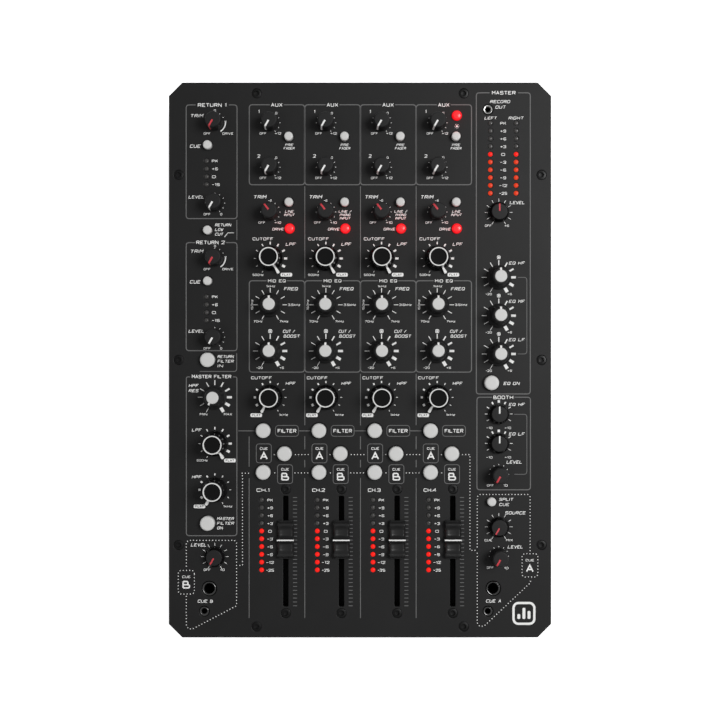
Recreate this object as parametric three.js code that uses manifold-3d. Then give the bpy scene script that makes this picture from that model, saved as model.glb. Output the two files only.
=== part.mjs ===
// A four-channel DJ mixer with a flat black control face, built as an assembly of separate pieces.
// Millimetres. +X is the operator's right, +Y points to the rear panel, +Z is up, and z = 0 is the
// surface that the rubber feet stand on, under the middle of the faceplate.
import * as THREE from "three";
import { mergeVertices } from "three/addons/utils/BufferGeometryUtils.js";
import Module from "manifold-3d";

const wasm = await Module();
wasm.setup();

// ---- Driving dimensions ------------------------------------------------------------------------
const GAP = 0.3; // clearance between neighbouring pieces
const SHEET = 1.5; // folded steel thickness
const BOARD = 1.6; // circuit board thickness

const PLATE = { width: 246.6, length: 358, thickness: 3, chamfer: 8.7 };
const FOOT = { height: 7, radius: 9, inset: 26 };
const TRAY = { height: 61, inset: 1, lip: 9.5, screwHole: 1.3 };
const VENTS = { count: 9, first: -52, pitch: 13, width: 2.6, low: 16, high: 40 }; // slots in both side walls
const FACE_Z = FOOT.height + TRAY.height + PLATE.thickness; // top of the faceplate
const UNDER_Z = FACE_Z - PLATE.thickness; // underside of the faceplate

const CHANNELS = 4;
const CHANNEL_PITCH = 35.9;
const CHANNEL_X = -57.9; // knob column of channel 1
const KNOB_LIFT = 0.8; // air between the face and a knob's skirt
const POINTER = { width: 1.4, rise: 0.5, lugWidth: 1.9, lugHeight: 2.2 };
const SHAFT_R = 3;
const SHAFT_HOLE_R = 4.2;

const CONTROL_BOARD_Z = 50.4; // underside of the control board
const POT = { width: 9.8, depth: 11, height: 8 };
const SWITCH = { width: 7.6, height: 6.6 };
const BUTTON_TRAVEL = 1.8;

// Skirt, shoulder and top radius, height and pointer length of each knob style; two have no shoulder.
// A lug is the reach of the pointer's foot, which stands out of the skirt.
const KNOB_STYLES = {
  slim: { skirt: 5.6, top: 5.1, height: 13, pointer: 4.2 },
  ringed: { skirt: 8.2, shoulder: 6.9, top: 6.1, height: 17, pointer: 2.2, lug: 11.3 },
  capped: { skirt: 7.9, shoulder: 6.2, top: 5.3, height: 15, pointer: 2.2 },
  low: { skirt: 6.6, top: 5.2, height: 6, pointer: 4.0 },
};
const BUTTON_STYLES = {
  small: { radius: 2.75, hole: 3.2, sides: 8 },
  large: { radius: 4.7, hole: 5.1, sides: 10 },
};
const BUTTON_RISE = 4;

// Fader: the slot in the face, the lever in it, and the cap that is pinched between two fingers.
const FADER = {
  dx: 10, // from the knob column
  y: -123.3,
  slotWidth: 3.4,
  slotLength: 71.4,
  screwPitch: 80,
  restShift: 7.8, // the caps stand a little above mid travel
};
const FADER_CAP = { width: 11, length: 24.6, height: 5.4, lift: 1.2, waist: 9.6 };
const FADER_LEVER = { thickness: 1.4, width: 8 };
const FADER_BODY = { width: 11, length: 88, height: 8.2 };

// Panel jacks: bush radius, bore radius and depth below the face.
const JACK_635 = { bush: 4.4, bore: 3.3, hole: 4.8, depth: 26, body: 14 };
const JACK_35 = { bush: 2.95, bore: 1.8, hole: 3.35, depth: 14, body: 8 };

// Controls of one channel strip, measured from its knob column. Angles are clockwise from 12 o'clock.
const STRIP_KNOBS = [
  { name: "aux_1", style: "slim", y: 153.0, angle: -150, fixed: true },
  { name: "aux_2", style: "slim", y: 124.3, angle: -150, fixed: true },
  { name: "trim", style: "slim", y: 95.4, angle: -38 },
  { name: "lpf", style: "ringed", y: 65.5, angle: 150 },
  { name: "freq", style: "capped", y: 35.6, angle: 0 },
  { name: "cut_boost", style: "capped", y: 5.8, angle: 0 },
  { name: "hpf", style: "ringed", y: -24.1, angle: -150 },
];
const STRIP_BUTTONS = [
  { name: "pre_fade", style: "small", dx: 12.0, y: 143.9, fixed: true },
  { name: "input", style: "small", dx: 12.1, y: 101.6, fixed: true },
  { name: "filter", style: "large", dx: -4.4, y: -45.5 },
  { name: "cue_a", style: "large", dx: 9.3, y: -60.3 },
  { name: "cue_b", style: "large", dx: -4.4, y: -72.3 },
];

// Controls of the two side columns.
const LEFT_X = -93.6;
const LEFT_BUTTON_X = -98.1;
const RIGHT_X = 89.5;
const RIGHT_BUTTON_X = 84.7;
const SIDE_KNOBS = [
  { name: "return_1_trim", style: "slim", x: LEFT_X, y: 153.3, angle: -150, fixed: true },
  { name: "return_1_level", style: "slim", x: LEFT_X, y: 101.2, angle: -150, fixed: true },
  { name: "return_2_trim", style: "slim", x: LEFT_X, y: 65.9, angle: -150, fixed: true },
  { name: "return_2_level", style: "slim", x: LEFT_X, y: 14.7, angle: -150, fixed: true },
  { name: "master_filter_res", style: "capped", x: LEFT_X, y: -24.0, angle: -150, fixed: true },
  { name: "master_filter_lpf", style: "ringed", x: LEFT_X, y: -53.9, angle: 150 },
  { name: "master_filter_hpf", style: "ringed", x: LEFT_X, y: -83.7, angle: -150 },
  { name: "cue_b_level", style: "low", x: LEFT_X, y: -126.8, angle: -150, fixed: true },
  { name: "master_level", style: "low", x: RIGHT_X, y: 95.2, angle: 0 },
  { name: "master_eq_hf", style: "capped", x: RIGHT_X, y: 53.3, angle: 0 },
  { name: "master_eq_mf", style: "capped", x: RIGHT_X, y: 28.6, angle: 0 },
  { name: "master_eq_lf", style: "capped", x: RIGHT_X, y: 3.9, angle: 0 },
  { name: "booth_eq_hf", style: "low", x: RIGHT_X, y: -34.8, angle: 0, fixed: true },
  { name: "booth_eq_lf", style: "low", x: RIGHT_X, y: -53.8, angle: 0, fixed: true },
  { name: "booth_level", style: "slim", x: RIGHT_X, y: -73.7, angle: -150, fixed: true },
  { name: "cue_source", style: "low", x: RIGHT_X, y: -107.6, angle: -150, fixed: true },
  { name: "cue_a_level", style: "slim", x: RIGHT_X, y: -126.6, angle: -150, fixed: true },
];
const SIDE_BUTTONS = [
  { name: "return_1_cue", style: "small", x: LEFT_BUTTON_X, y: 138.4, fixed: true },
  { name: "low_cut", style: "small", x: LEFT_BUTTON_X, y: 83.6, fixed: true },
  { name: "return_2_cue", style: "small", x: LEFT_BUTTON_X, y: 50.9, fixed: true },
  { name: "return_filter", style: "large", x: LEFT_BUTTON_X, y: 0.1, fixed: true },
  { name: "master_filter_on", style: "large", x: LEFT_BUTTON_X, y: -105.1 },
  { name: "eq_on", style: "large", x: RIGHT_BUTTON_X, y: -14.7 },
  { name: "split_cue", style: "small", x: RIGHT_BUTTON_X, y: -91.2, fixed: true },
];
const CUE_B = { jack635: [-97.2, -147.4], jack35: [-100.4, -162.0] };
const CUE_A = { jack635: [85.9, -147.3], jack35: [82.5, -162.0] };
const RECORD_JACK = [82.5, 161.5];

// Faceplate screws, mirrored left to right and front to rear.
const PLATE_SCREWS = [
  [66.8, 172],
  [117, 119.4],
  [117, 0],
];
const PLATE_SCREW_R = 1.7;

// Rear panel: where each connector stands, as seen along +Y from inside.
const REAR_Y = 169.6; // outer face of the rear panel, set back so the sockets stay under the plate
const REAR = {
  xlr: {
    x: [40, 12],
    z: 32,
    hole: 12,
    shell: 11.6,
    recess: 9.4,
    depth: 15,
    pin: 1.2,
    pinCircle: 4.9,
    flange: [26, 31],
    screw: { x: 9.5, z: 12, radius: 1.6 },
  },
  trs: { x: [-14, -30, -46], z: [22, 40], hole: 4.9, depth: 24, side: 7.5, end: 8, reach: 2.5 },
  rca: {
    x: [-62, -76, -90, -104],
    z: [16.5, 30, 43.5],
    hole: 4.7,
    barrel: 4.2,
    bore: 1.7,
    reach: 9,
    body: 5.2,
  },
  inlet: { x: 90, z: 32, width: 27, height: 20, recess: [24, 16.4], depth: 16 },
  rocker: { x: 65, z: 32, width: 13, height: 19.4, wall: 1.3, well: 9, pin: 1.4, tilt: 8 },
  bezel: 0.6, // how far the inlet and the rocker's housing stand out of the panel
  housingDepth: 20,
};
const REAR_HALF = PLATE.width / 2 - TRAY.inset - PLATE.chamfer - 0.6 - GAP; // half the rear panel's width
const REAR_INSIDE = REAR_Y - SHEET - GAP; // where the connector bodies stop
const FLOOR_Z = FOOT.height + 2 * GAP + SHEET; // just above the tray's bottom

// Boards: outline of the control board in XY, extent of the input board in X and Z, supply board in X and Y.
const CONTROL_BOARD = [
  [-84, -168], [74, -168], [74, -136], [106, -136], [106, 160], [91, 160], [91, 168], [75, 168],
  [75, 160], [-106, 160], [-106, -136], [-84, -136],
];
const INPUT_BOARD = { y: REAR_Y - 16.4, x: [-110, -56], z: [10.5, 49.5] };
const SUPPLY = {
  z: 13,
  x: [52, 108],
  front: 62,
  transformer: { x: [58, 100], y: [70, 108], height: 28 },
  cans: { x: [64, 80, 96], y: 122, radius: 6, height: 22 },
  heatsink: { x: [60, 102], y: [136, 140], height: 24 },
  standoffs: { x: [56, 104], y: [66, 150], radius: 2.5 },
};

// ---- Materials -----------------------------------------------------------------------------------
function material(color, roughness, metalness) {
  return new THREE.MeshStandardMaterial({ color, roughness, metalness });
}
const POWDER_COAT = material(0x2a2a2a, 0.62, 0.3);
const RUBBER = material(0x191919, 0.8, 0);
const KNOB_RUBBER = material(0x1d1d1d, 0.7, 0);
const WHITE_KEY = material(0xd8d8d6, 0.45, 0);
const FADER_PLASTIC = material(0x202020, 0.35, 0);
const CIRCUIT_BOARD = material(0x12351f, 0.5, 0);
const JACK_METAL = material(0xb8b8b8, 0.3, 1);
const CONNECTOR = material(0x1c1c1e, 0.5, 0);

// ---- Solid helpers -------------------------------------------------------------------------------
function solid(geometry) {
  const bare = geometry.index ? geometry.toNonIndexed() : geometry.clone();
  bare.deleteAttribute("normal");
  bare.deleteAttribute("uv");
  const merged = mergeVertices(bare, 1e-4);
  return new wasm.Manifold(
    new wasm.Mesh({
      numProp: 3,
      vertProperties: new Float32Array(merged.attributes.position.array),
      triVerts: new Uint32Array(merged.index.array),
    }),
  );
}

function mesh(name, body, look) {
  const made = body.getMesh();
  const geometry = new THREE.BufferGeometry();
  geometry.setAttribute("position", new THREE.BufferAttribute(made.vertProperties, 3));
  geometry.setIndex(new THREE.BufferAttribute(made.triVerts, 1));
  geometry.computeVertexNormals();
  const part = new THREE.Mesh(geometry, look.clone());
  part.name = name;
  return part;
}

function join(pieces) {
  return pieces.reduce((whole, piece) => whole.add(piece));
}

function cut(body, tools) {
  return tools.length ? body.subtract(join(tools)) : body;
}

// A box from its lowest corner to its highest corner.
function block([x0, y0, z0], [x1, y1, z1]) {
  const geometry = new THREE.BoxGeometry(x1 - x0, y1 - y0, z1 - z0);
  geometry.translate((x0 + x1) / 2, (y0 + y1) / 2, (z0 + z1) / 2);
  return solid(geometry);
}

// An upright prism with a round section.
function post(x, y, z0, z1, radius, sides) {
  const geometry = new THREE.CylinderGeometry(radius, radius, z1 - z0, sides);
  geometry.rotateX(Math.PI / 2);
  geometry.translate(x, y, (z0 + z1) / 2);
  return solid(geometry);
}

// A prism with a round section that runs along Y.
function rod(x, z, y0, y1, radius, sides) {
  const geometry = new THREE.CylinderGeometry(radius, radius, y1 - y0, sides);
  geometry.translate(x, (y0 + y1) / 2, z);
  return solid(geometry);
}

// Corners of a rectangle with cut corners, counter-clockwise.
function octagon(width, length, chamfer) {
  const a = width / 2;
  const b = length / 2;
  return [
    [a, -b + chamfer],
    [a, b - chamfer],
    [a - chamfer, b],
    [-a + chamfer, b],
    [-a, b - chamfer],
    [-a, -b + chamfer],
    [-a + chamfer, -b],
    [a - chamfer, -b],
  ];
}

function circle(x, y, radius, sides) {
  return Array.from({ length: sides }, (_, i) => {
    const turn = ((i + 0.5) * 2 * Math.PI) / sides;
    return [x + radius * Math.cos(turn), y + radius * Math.sin(turn)];
  });
}

function rectangle(x, y, width, length) {
  const [a, b] = [width / 2, length / 2];
  return [[x - a, y - b], [x + a, y - b], [x + a, y + b], [x - a, y + b]];
}

function prism(outline, z0, z1) {
  const shape = new THREE.Shape(outline.map(([x, y]) => new THREE.Vector2(x, y)));
  const geometry = new THREE.ExtrudeGeometry(shape, { depth: z1 - z0, bevelEnabled: false });
  geometry.translate(0, 0, z0);
  return solid(geometry);
}

// A flat sheet with its outline and holes in XY, from z0 to z1.
function sheet(outline, holes, z0, z1) {
  return cut(prism(outline, z0, z1), holes.map((hole) => prism(hole, z0 - 1, z1 + 1)));
}

// The same, standing up: the outline is in XZ and the sheet reaches from y0 to y1.
function wall(outline, holes, y0, y1) {
  const flat = sheet(outline, holes, 0, y1 - y0);
  return flat.rotate([90, 0, 0]).translate([0, y1, 0]);
}

// A solid of revolution about Z; profile points are [radius, z], from the bottom up.
function turned(profile, sides) {
  const points = profile.map(([r, z]) => new THREE.Vector2(r, z));
  const geometry = new THREE.LatheGeometry(points, sides);
  geometry.rotateX(Math.PI / 2);
  return solid(geometry);
}

// ---- Where the controls are ----------------------------------------------------------------------
function stripControls(rows) {
  return Array.from({ length: CHANNELS }, (_, i) =>
    rows.map((row) => ({
      ...row,
      name: `channel_${i + 1}_${row.name}`,
      x: CHANNEL_X + i * CHANNEL_PITCH + (row.dx ?? 0),
    })),
  ).flat();
}
const KNOBS = [...stripControls(STRIP_KNOBS), ...SIDE_KNOBS];
const BUTTONS = [...stripControls(STRIP_BUTTONS), ...SIDE_BUTTONS];
const FADERS = Array.from({ length: CHANNELS }, (_, i) => ({
  name: `channel_${i + 1}_fader`,
  x: CHANNEL_X + i * CHANNEL_PITCH + FADER.dx,
}));
const SCREWS = PLATE_SCREWS.flatMap(([x, y]) =>
  (y ? [[x, y], [x, -y], [-x, y], [-x, -y]] : [[x, y], [-x, y]]));

// ---- Knobs, buttons and faders -------------------------------------------------------------------
const POT_TOP = CONTROL_BOARD_Z + BOARD + POT.height;
const SWITCH_TOP = CONTROL_BOARD_Z + BOARD + SWITCH.height;

// A knob about its own axis, standing on its shaft, with the pointer turned to its angle.
function knobBody(style, angle, shaftEnd, sides) {
  const { skirt, shoulder, top, height, pointer, lug } = KNOB_STYLES[style];
  const skirtZ = FACE_Z + KNOB_LIFT;
  const topZ = FACE_Z + height;
  const flare = shoulder ? [[skirt, skirtZ + 1.2], [shoulder, skirtZ + 2.6]] : [];
  const profile = [
    [0, shaftEnd],
    [SHAFT_R, shaftEnd],
    [SHAFT_R, skirtZ],
    [skirt, skirtZ],
    ...flare,
    [top, topZ - POINTER.rise],
    [0, topZ - POINTER.rise],
  ];
  const [w, reach] = [POINTER.width / 2, top - 0.4];
  const pieces = [turned(profile, sides), block([-w, reach - pointer, topZ - 1.5], [w, reach, topZ])];
  if (lug) {
    const l = POINTER.lugWidth / 2;
    pieces.push(block([-l, SHAFT_R, skirtZ], [l, lug, skirtZ + POINTER.lugHeight]));
  }
  return join(pieces).rotate([0, 0, -angle]);
}

function buttonBody(style, plungerEnd) {
  const { radius, sides } = BUTTON_STYLES[style];
  const capZ = UNDER_Z - 2.4;
  const topZ = FACE_Z + BUTTON_RISE;
  return turned(
    [
      [0, plungerEnd],
      [1.6, plungerEnd],
      [1.6, capZ],
      [radius, capZ],
      [radius, topZ - 0.5],
      [radius - 0.5, topZ],
      [0, topZ],
    ],
    sides,
  );
}

// The fader cap seen from the side: finger hollows in front of and behind a raised middle ridge.
function faderBody() {
  const { width, length, height, lift, waist } = FADER_CAP;
  const [z0, half] = [FACE_Z + lift, length / 2];
  const side = [
    [-half, z0],
    [half, z0],
    [half - 0.8, z0 + height * 0.62],
    [half - 3.0, z0 + height * 0.86],
    [half * 0.45, z0 + height * 0.66],
    [1.0, z0 + height * 0.9],
    [-1.0, z0 + height * 0.9],
    [-half * 0.45, z0 + height * 0.66],
    [-half + 3.0, z0 + height * 0.86],
    [-half + 0.8, z0 + height * 0.62],
  ];
  const slab = wall(side, [], -width / 2, width / 2).rotate([0, 0, 90]);
  const slope = (width - waist) / 2;
  const front = [[-width / 2, z0], [width / 2, z0], [width / 2 - slope, z0 + height],
    [-width / 2 + slope, z0 + height]];
  const taper = wall(front, [], -half - 1, half + 1);
  const leverEnd = UNDER_Z - GAP - FADER_BODY.height + 3;
  const lever = block(
    [-FADER_LEVER.thickness / 2, -FADER_LEVER.width / 2, leverEnd],
    [FADER_LEVER.thickness / 2, FADER_LEVER.width / 2, z0 + 2],
  );
  return slab.intersect(taper).add(lever);
}

function controls() {
  const group = new THREE.Group();
  for (const { name, style, x, y, angle, fixed } of KNOBS) {
    if (fixed) continue;
    const knob = mesh(`${name}_knob`, knobBody(style, angle, POT_TOP + GAP, 12), KNOB_RUBBER);
    knob.position.set(x, y, 0);
    group.add(knob);
  }
  for (const { name, style, x, y, fixed } of BUTTONS) {
    if (fixed) continue;
    const plungerEnd = SWITCH_TOP + BUTTON_TRAVEL + GAP;
    const button = mesh(`${name}_button`, buttonBody(style, plungerEnd), WHITE_KEY);
    button.position.set(x, y, 0);
    group.add(button);
  }
  for (const { name, x } of FADERS) {
    const fader = mesh(name, faderBody(), FADER_PLASTIC);
    fader.position.set(x, FADER.y + FADER.restShift, 0);
    group.add(fader);
  }
  return group;
}

// ---- Case ----------------------------------------------------------------------------------------
function faceplate() {
  const holes = [
    ...KNOBS.map(({ x, y }) => circle(x, y, SHAFT_HOLE_R, 6)),
    ...BUTTONS.map(({ x, y, style }) => circle(x, y, BUTTON_STYLES[style].hole, BUTTON_STYLES[style].sides)),
    ...FADERS.map(({ x }) => rectangle(x, FADER.y, FADER.slotWidth, FADER.slotLength)),
    ...FADERS.flatMap(({ x }) => [-1, 1].map((end) =>
      circle(x, FADER.y + (end * FADER.screwPitch) / 2, PLATE_SCREW_R, 6))),
    ...SCREWS.map(([x, y]) => circle(x, y, PLATE_SCREW_R, 6)),
    ...[CUE_A, CUE_B].map(({ jack635 }) => circle(...jack635, JACK_635.hole, 12)),
    ...[CUE_A.jack35, CUE_B.jack35, RECORD_JACK].map((at) => circle(...at, JACK_35.hole, 12)),
  ];
  const outline = octagon(PLATE.width, PLATE.length, PLATE.chamfer);
  return mesh("faceplate", sheet(outline, holes, UNDER_Z, FACE_Z), POWDER_COAT);
}

// The folded steel tray: bottom, walls, and a lip that takes the faceplate's screws.
function chassisTray() {
  const width = PLATE.width - 2 * TRAY.inset;
  const length = PLATE.length - 2 * TRAY.inset;
  const outer = octagon(width, length, PLATE.chamfer);
  const inner = octagon(width - 2 * SHEET, length - 2 * SHEET, PLATE.chamfer - 0.6);
  const lipInner = octagon(width - 2 * TRAY.lip, length - 2 * TRAY.lip, PLATE.chamfer - 4);
  const [bottom, top] = [FOOT.height + GAP, UNDER_Z - GAP];
  const shell = join([
    sheet(outer, [], bottom, bottom + SHEET),
    sheet(outer, [inner], bottom + SHEET / 2, top),
    sheet(outer, [lipInner, ...SCREWS.map(([x, y]) => circle(x, y, TRAY.screwHole, 6))], top - SHEET, top),
  ]);
  const rearOpening = block(
    [-REAR_HALF - GAP, REAR_Y, bottom + SHEET],
    [REAR_HALF + GAP, PLATE.length / 2, top - SHEET],
  );
  const vents = Array.from({ length: VENTS.count }, (_, i) => {
    const y = VENTS.first + i * VENTS.pitch;
    return block([-width, y, bottom + VENTS.low], [width, y + VENTS.width, bottom + VENTS.high]);
  });
  return mesh("chassis_tray", cut(shell, [rearOpening, ...vents]), POWDER_COAT);
}

function rearPanel() {
  const [z0, z1] = [FLOOR_Z, UNDER_Z - 2 * GAP - SHEET];
  const { xlr, trs, rca, inlet, rocker } = REAR;
  const holes = [
    ...xlr.x.map((x) => circle(x, xlr.z, xlr.hole, 16)),
    ...trs.x.flatMap((x) => trs.z.map((z) => circle(x, z, trs.hole, 10))),
    ...rca.x.flatMap((x) => rca.z.map((z) => circle(x, z, rca.hole, 8))),
    rectangle(inlet.x, inlet.z, inlet.width + 2 * GAP, inlet.height + 2 * GAP),
    rectangle(rocker.x, rocker.z, rocker.width + 2 * GAP, rocker.height + 2 * GAP),
  ];
  const outline = rectangle(0, (z0 + z1) / 2, 2 * REAR_HALF, z1 - z0);
  return mesh("rear_panel", wall(outline, holes, REAR_Y - SHEET, REAR_Y), POWDER_COAT);
}

function feet() {
  const x = PLATE.width / 2 - FOOT.inset;
  const y = PLATE.length / 2 - FOOT.inset;
  const corners = { front_left: [-x, -y], front_right: [x, -y], rear_left: [-x, y], rear_right: [x, y] };
  return Object.entries(corners).map(([place, [footX, footY]]) => {
    const profile = [
      [0, 0],
      [FOOT.radius - 1.2, 0],
      [FOOT.radius, 1.2],
      [FOOT.radius + 0.8, FOOT.height],
      [0, FOOT.height],
    ];
    const foot = mesh(`foot_${place}`, turned(profile, 16), RUBBER);
    foot.position.set(footX, footY, 0);
    return foot;
  });
}

// ---- Boards and connectors -----------------------------------------------------------------------
function faderHousing(x) {
  const [top, half] = [UNDER_Z - GAP, FADER_BODY.width / 2];
  const bottom = top - FADER_BODY.height;
  const y0 = FADER.y - FADER_BODY.length / 2;
  const y1 = FADER.y + FADER_BODY.length / 2;
  const housing = block([x - half, y0, bottom], [x + half, y1, top]);
  const groove = block(
    [x - FADER.slotWidth / 2, FADER.y - FADER.slotLength / 2, bottom + 1.5],
    [x + FADER.slotWidth / 2, FADER.y + FADER.slotLength / 2, top + 1],
  );
  const legs = [y0 + 2, y1 - 4].map((y) =>
    block([x - 2, y, CONTROL_BOARD_Z + 0.5], [x + 2, y + 2, bottom + 0.5]));
  return join([cut(housing, [groove]), ...legs]);
}

// An upright jack in the face: a body under the plate and a bush that fills its hole.
function panelJack([x, y], jack, foot) {
  const half = jack.body / 2;
  return {
    body: join([
      block([x - half, y - half, foot], [x + half, y + half, UNDER_Z - GAP]),
      post(x, y, UNDER_Z - 1, FACE_Z + 0.4, jack.bush, 12),
    ]),
    bore: post(x, y, FACE_Z - jack.depth, FACE_Z + 1, jack.bore, 12),
  };
}

// The big board under the face, with everything that is soldered to it: potentiometers, switches,
// fader housings and the record jack. Knobs and buttons marked fixed are joined to it as well.
function controlBoard() {
  const [z0, z1] = [CONTROL_BOARD_Z, CONTROL_BOARD_Z + BOARD];
  const pieces = [sheet(CONTROL_BOARD, [], z0, z1)];
  for (const { style, x, y, angle, fixed } of KNOBS) {
    const [a, b] = [POT.width / 2, POT.depth / 2];
    pieces.push(block([x - a, y - b, z1 - 0.3], [x + a, y + b, POT_TOP]));
    if (fixed) pieces.push(knobBody(style, angle, POT_TOP - 1, 8).translate([x, y, 0]));
  }
  for (const { style, x, y, fixed } of BUTTONS) {
    const a = SWITCH.width / 2;
    pieces.push(block([x - a, y - a, z1 - 0.3], [x + a, y + a, SWITCH_TOP]));
    if (fixed) pieces.push(buttonBody(style, SWITCH_TOP - 1).translate([x, y, 0]));
  }
  pieces.push(...FADERS.map(({ x }) => faderHousing(x)));
  const record = panelJack(RECORD_JACK, JACK_35, z1 - 0.3);
  pieces.push(record.body);
  return mesh("control_board", cut(join(pieces), [record.bore]), CIRCUIT_BOARD);
}

// The two headphone sockets of one cue bus on a small board of their own.
function cueJacks(name, { jack635, jack35 }) {
  const foot = FACE_Z - JACK_635.depth - 2;
  const large = panelJack(jack635, JACK_635, foot);
  const small = panelJack(jack35, JACK_35, foot);
  const base = block(
    [jack35[0] - 5, jack35[1] - 5, foot],
    [jack635[0] + 8, jack635[1] + 8, foot + BOARD],
  );
  return mesh(name, cut(join([base, large.body, small.body]), [large.bore, small.bore]), JACK_METAL);
}

// The input board at the rear, with four columns of three phono sockets.
function inputBoard() {
  const { x: columns, z: rows, barrel, bore, reach, body } = REAR.rca;
  const { x, y, z: board } = INPUT_BOARD;
  const pieces = [block([x[0], y, board[0]], [x[1], y + BOARD, board[1]])];
  const bores = [];
  for (const column of columns) {
    const [low, high] = [rows[0] - body, rows[2] + body];
    pieces.push(block([column - body, y + 1, low], [column + body, REAR_INSIDE, high]));
    for (const row of rows) {
      pieces.push(rod(column, row, REAR_INSIDE - 1, REAR_Y + reach, barrel, 8));
      bores.push(rod(column, row, REAR_Y, REAR_Y + reach + 1, bore, 6));
    }
  }
  return mesh("input_board", cut(join(pieces), bores), CIRCUIT_BOARD);
}

// Six balanced jacks in one moulding: two sends, two returns and the booth pair.
function jackBlock() {
  const { x, z, depth, side, end, reach } = REAR.trs;
  const back = REAR_INSIDE - depth;
  const body = block([x[2] - side, back, z[0] - end], [x[0] + side, REAR_INSIDE, z[1] + end]);
  const spots = x.flatMap((a) => z.map((b) => [a, b]));
  const bushes = spots.map(([a, b]) => rod(a, b, REAR_INSIDE - 1, REAR_Y + reach, JACK_635.bush, 10));
  const bores = spots.map(([a, b]) => rod(a, b, back - 1, REAR_Y + reach + 1, JACK_635.bore, 10));
  return mesh("jack_block", cut(join([body, ...bushes]), bores), CONNECTOR);
}

// A three-pin male output connector: a flange outside the panel and a barrel through it.
function outputConnector(name, x) {
  const { z, shell, recess, depth, pin, pinCircle, flange: plate, screw } = REAR.xlr;
  const front = REAR_Y + GAP + 2;
  const screws = [-1, 1].map((side) => circle(x + side * screw.x, z - side * screw.z, screw.radius, 6));
  const flange = wall(rectangle(x, z, ...plate), screws, REAR_Y + GAP, front);
  const barrel = rod(x, z, front - depth - 5, front, shell, 16);
  const cup = rod(x, z, front - depth, front + 1, recess, 16);
  const pins = [90, 210, 330].map((turn) => {
    const a = THREE.MathUtils.degToRad(turn);
    const [pinX, pinZ] = [x + pinCircle * Math.cos(a), z + pinCircle * Math.sin(a)];
    return rod(pinX, pinZ, front - depth - 1, front - 2, pin, 6);
  });
  return mesh(name, join([cut(flange.add(barrel), [cup]), ...pins]), CONNECTOR);
}

// A connector housing that stands on the supply board and reaches through its opening in the rear panel.
function rearHousing({ x, z, width, height }) {
  const [low, high] = [x - width / 2, x + width / 2];
  const back = REAR_Y - REAR.housingDepth;
  const whole = block([low, back, SUPPLY.z + 1], [high, REAR_Y + REAR.bezel, z + height / 2]);
  const underPanel = block([low - 1, REAR_INSIDE, SUPPLY.z], [high + 1, REAR_Y + 1, z - height / 2]);
  return whole.subtract(underPanel);
}

function mainsInlet() {
  const { x, z, recess, depth } = REAR.inlet;
  const [a, b] = [recess[0] / 2, recess[1] / 2];
  const well = block([x - a, REAR_Y + REAR.bezel - depth, z - b], [x + a, REAR_Y + 2, z + b]);
  const blades = [[-7, 0], [7, 0], [0, 4]].map(([dx, dz]) =>
    block([x + dx - 1, REAR_Y - depth, z + dz - 2], [x + dx + 1, REAR_Y - 3, z + dz + 2]));
  return join([rearHousing(REAR.inlet).subtract(well), ...blades]);
}

function rockerHousing() {
  const { x, z, width, height, wall: side, well } = REAR.rocker;
  const [a, b] = [width / 2 - side, height / 2 - side];
  return rearHousing(REAR.rocker).subtract(block([x - a, REAR_Y - well, z - b], [x + a, REAR_Y + 2, z + b]));
}

// The supply board with its transformer, smoothing cans, mains inlet and the power switch's housing.
function powerSupply() {
  const { z: z0, x, front, transformer, cans, heatsink, standoffs } = SUPPLY;
  const z1 = z0 + BOARD;
  const upright = ({ x: xs, y: ys, height }) => block([xs[0], ys[0], z1 - 0.5], [xs[1], ys[1], z1 + height]);
  const pieces = [
    block([x[0], front, z0], [x[1], REAR_INSIDE, z1]),
    upright(transformer),
    upright(heatsink),
    ...cans.x.map((canX) => post(canX, cans.y, z1 - 0.5, z1 + cans.height, cans.radius, 12)),
    ...standoffs.x.flatMap((legX) => standoffs.y.map((legY) =>
      post(legX, legY, FLOOR_Z, z0 + 0.5, standoffs.radius, 6))),
    mainsInlet(),
    rockerHousing(),
  ];
  return mesh("power_supply", join(pieces), CIRCUIT_BOARD);
}

// The rocker turns about X on a pin line inside its housing. Its side view is [along Z, out along Y].
function powerRocker() {
  const { x, z, width, height, wall: side, pin, tilt } = REAR.rocker;
  const half = height / 2 - side - 2 * GAP;
  const thickness = width / 2 - side - GAP;
  const outline = [
    [-half, 0],
    [-half + 1.2, -5],
    [half - 1.2, -5],
    [half, 0],
    [half, 2.2],
    [0, 1.2],
    [-half, 2.2],
  ];
  const bar = sheet(outline.map(([along, out]) => [out, along]), [], -thickness, thickness);
  const rocker = mesh("power_rocker", bar.rotate([90, 0, 0]).rotate([0, 0, 90]), CONNECTOR);
  rocker.position.set(x, REAR_Y - pin, z);
  rocker.rotation.x = THREE.MathUtils.degToRad(tilt);
  return rocker;
}

// ---- Assembly ------------------------------------------------------------------------------------
const mixer = new THREE.Group();
mixer.name = "mixer";
mixer.add(faceplate(), chassisTray(), rearPanel(), ...feet());
mixer.add(controlBoard(), inputBoard(), jackBlock(), powerSupply(), powerRocker());
mixer.add(cueJacks("cue_a_jacks", CUE_A), cueJacks("cue_b_jacks", CUE_B));
mixer.add(outputConnector("output_left", REAR.xlr.x[0]), outputConnector("output_right", REAR.xlr.x[1]));
mixer.add(controls());

export default mixer;
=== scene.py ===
import math

import bmesh
import bpy
from mathutils import Matrix, Vector


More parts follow.
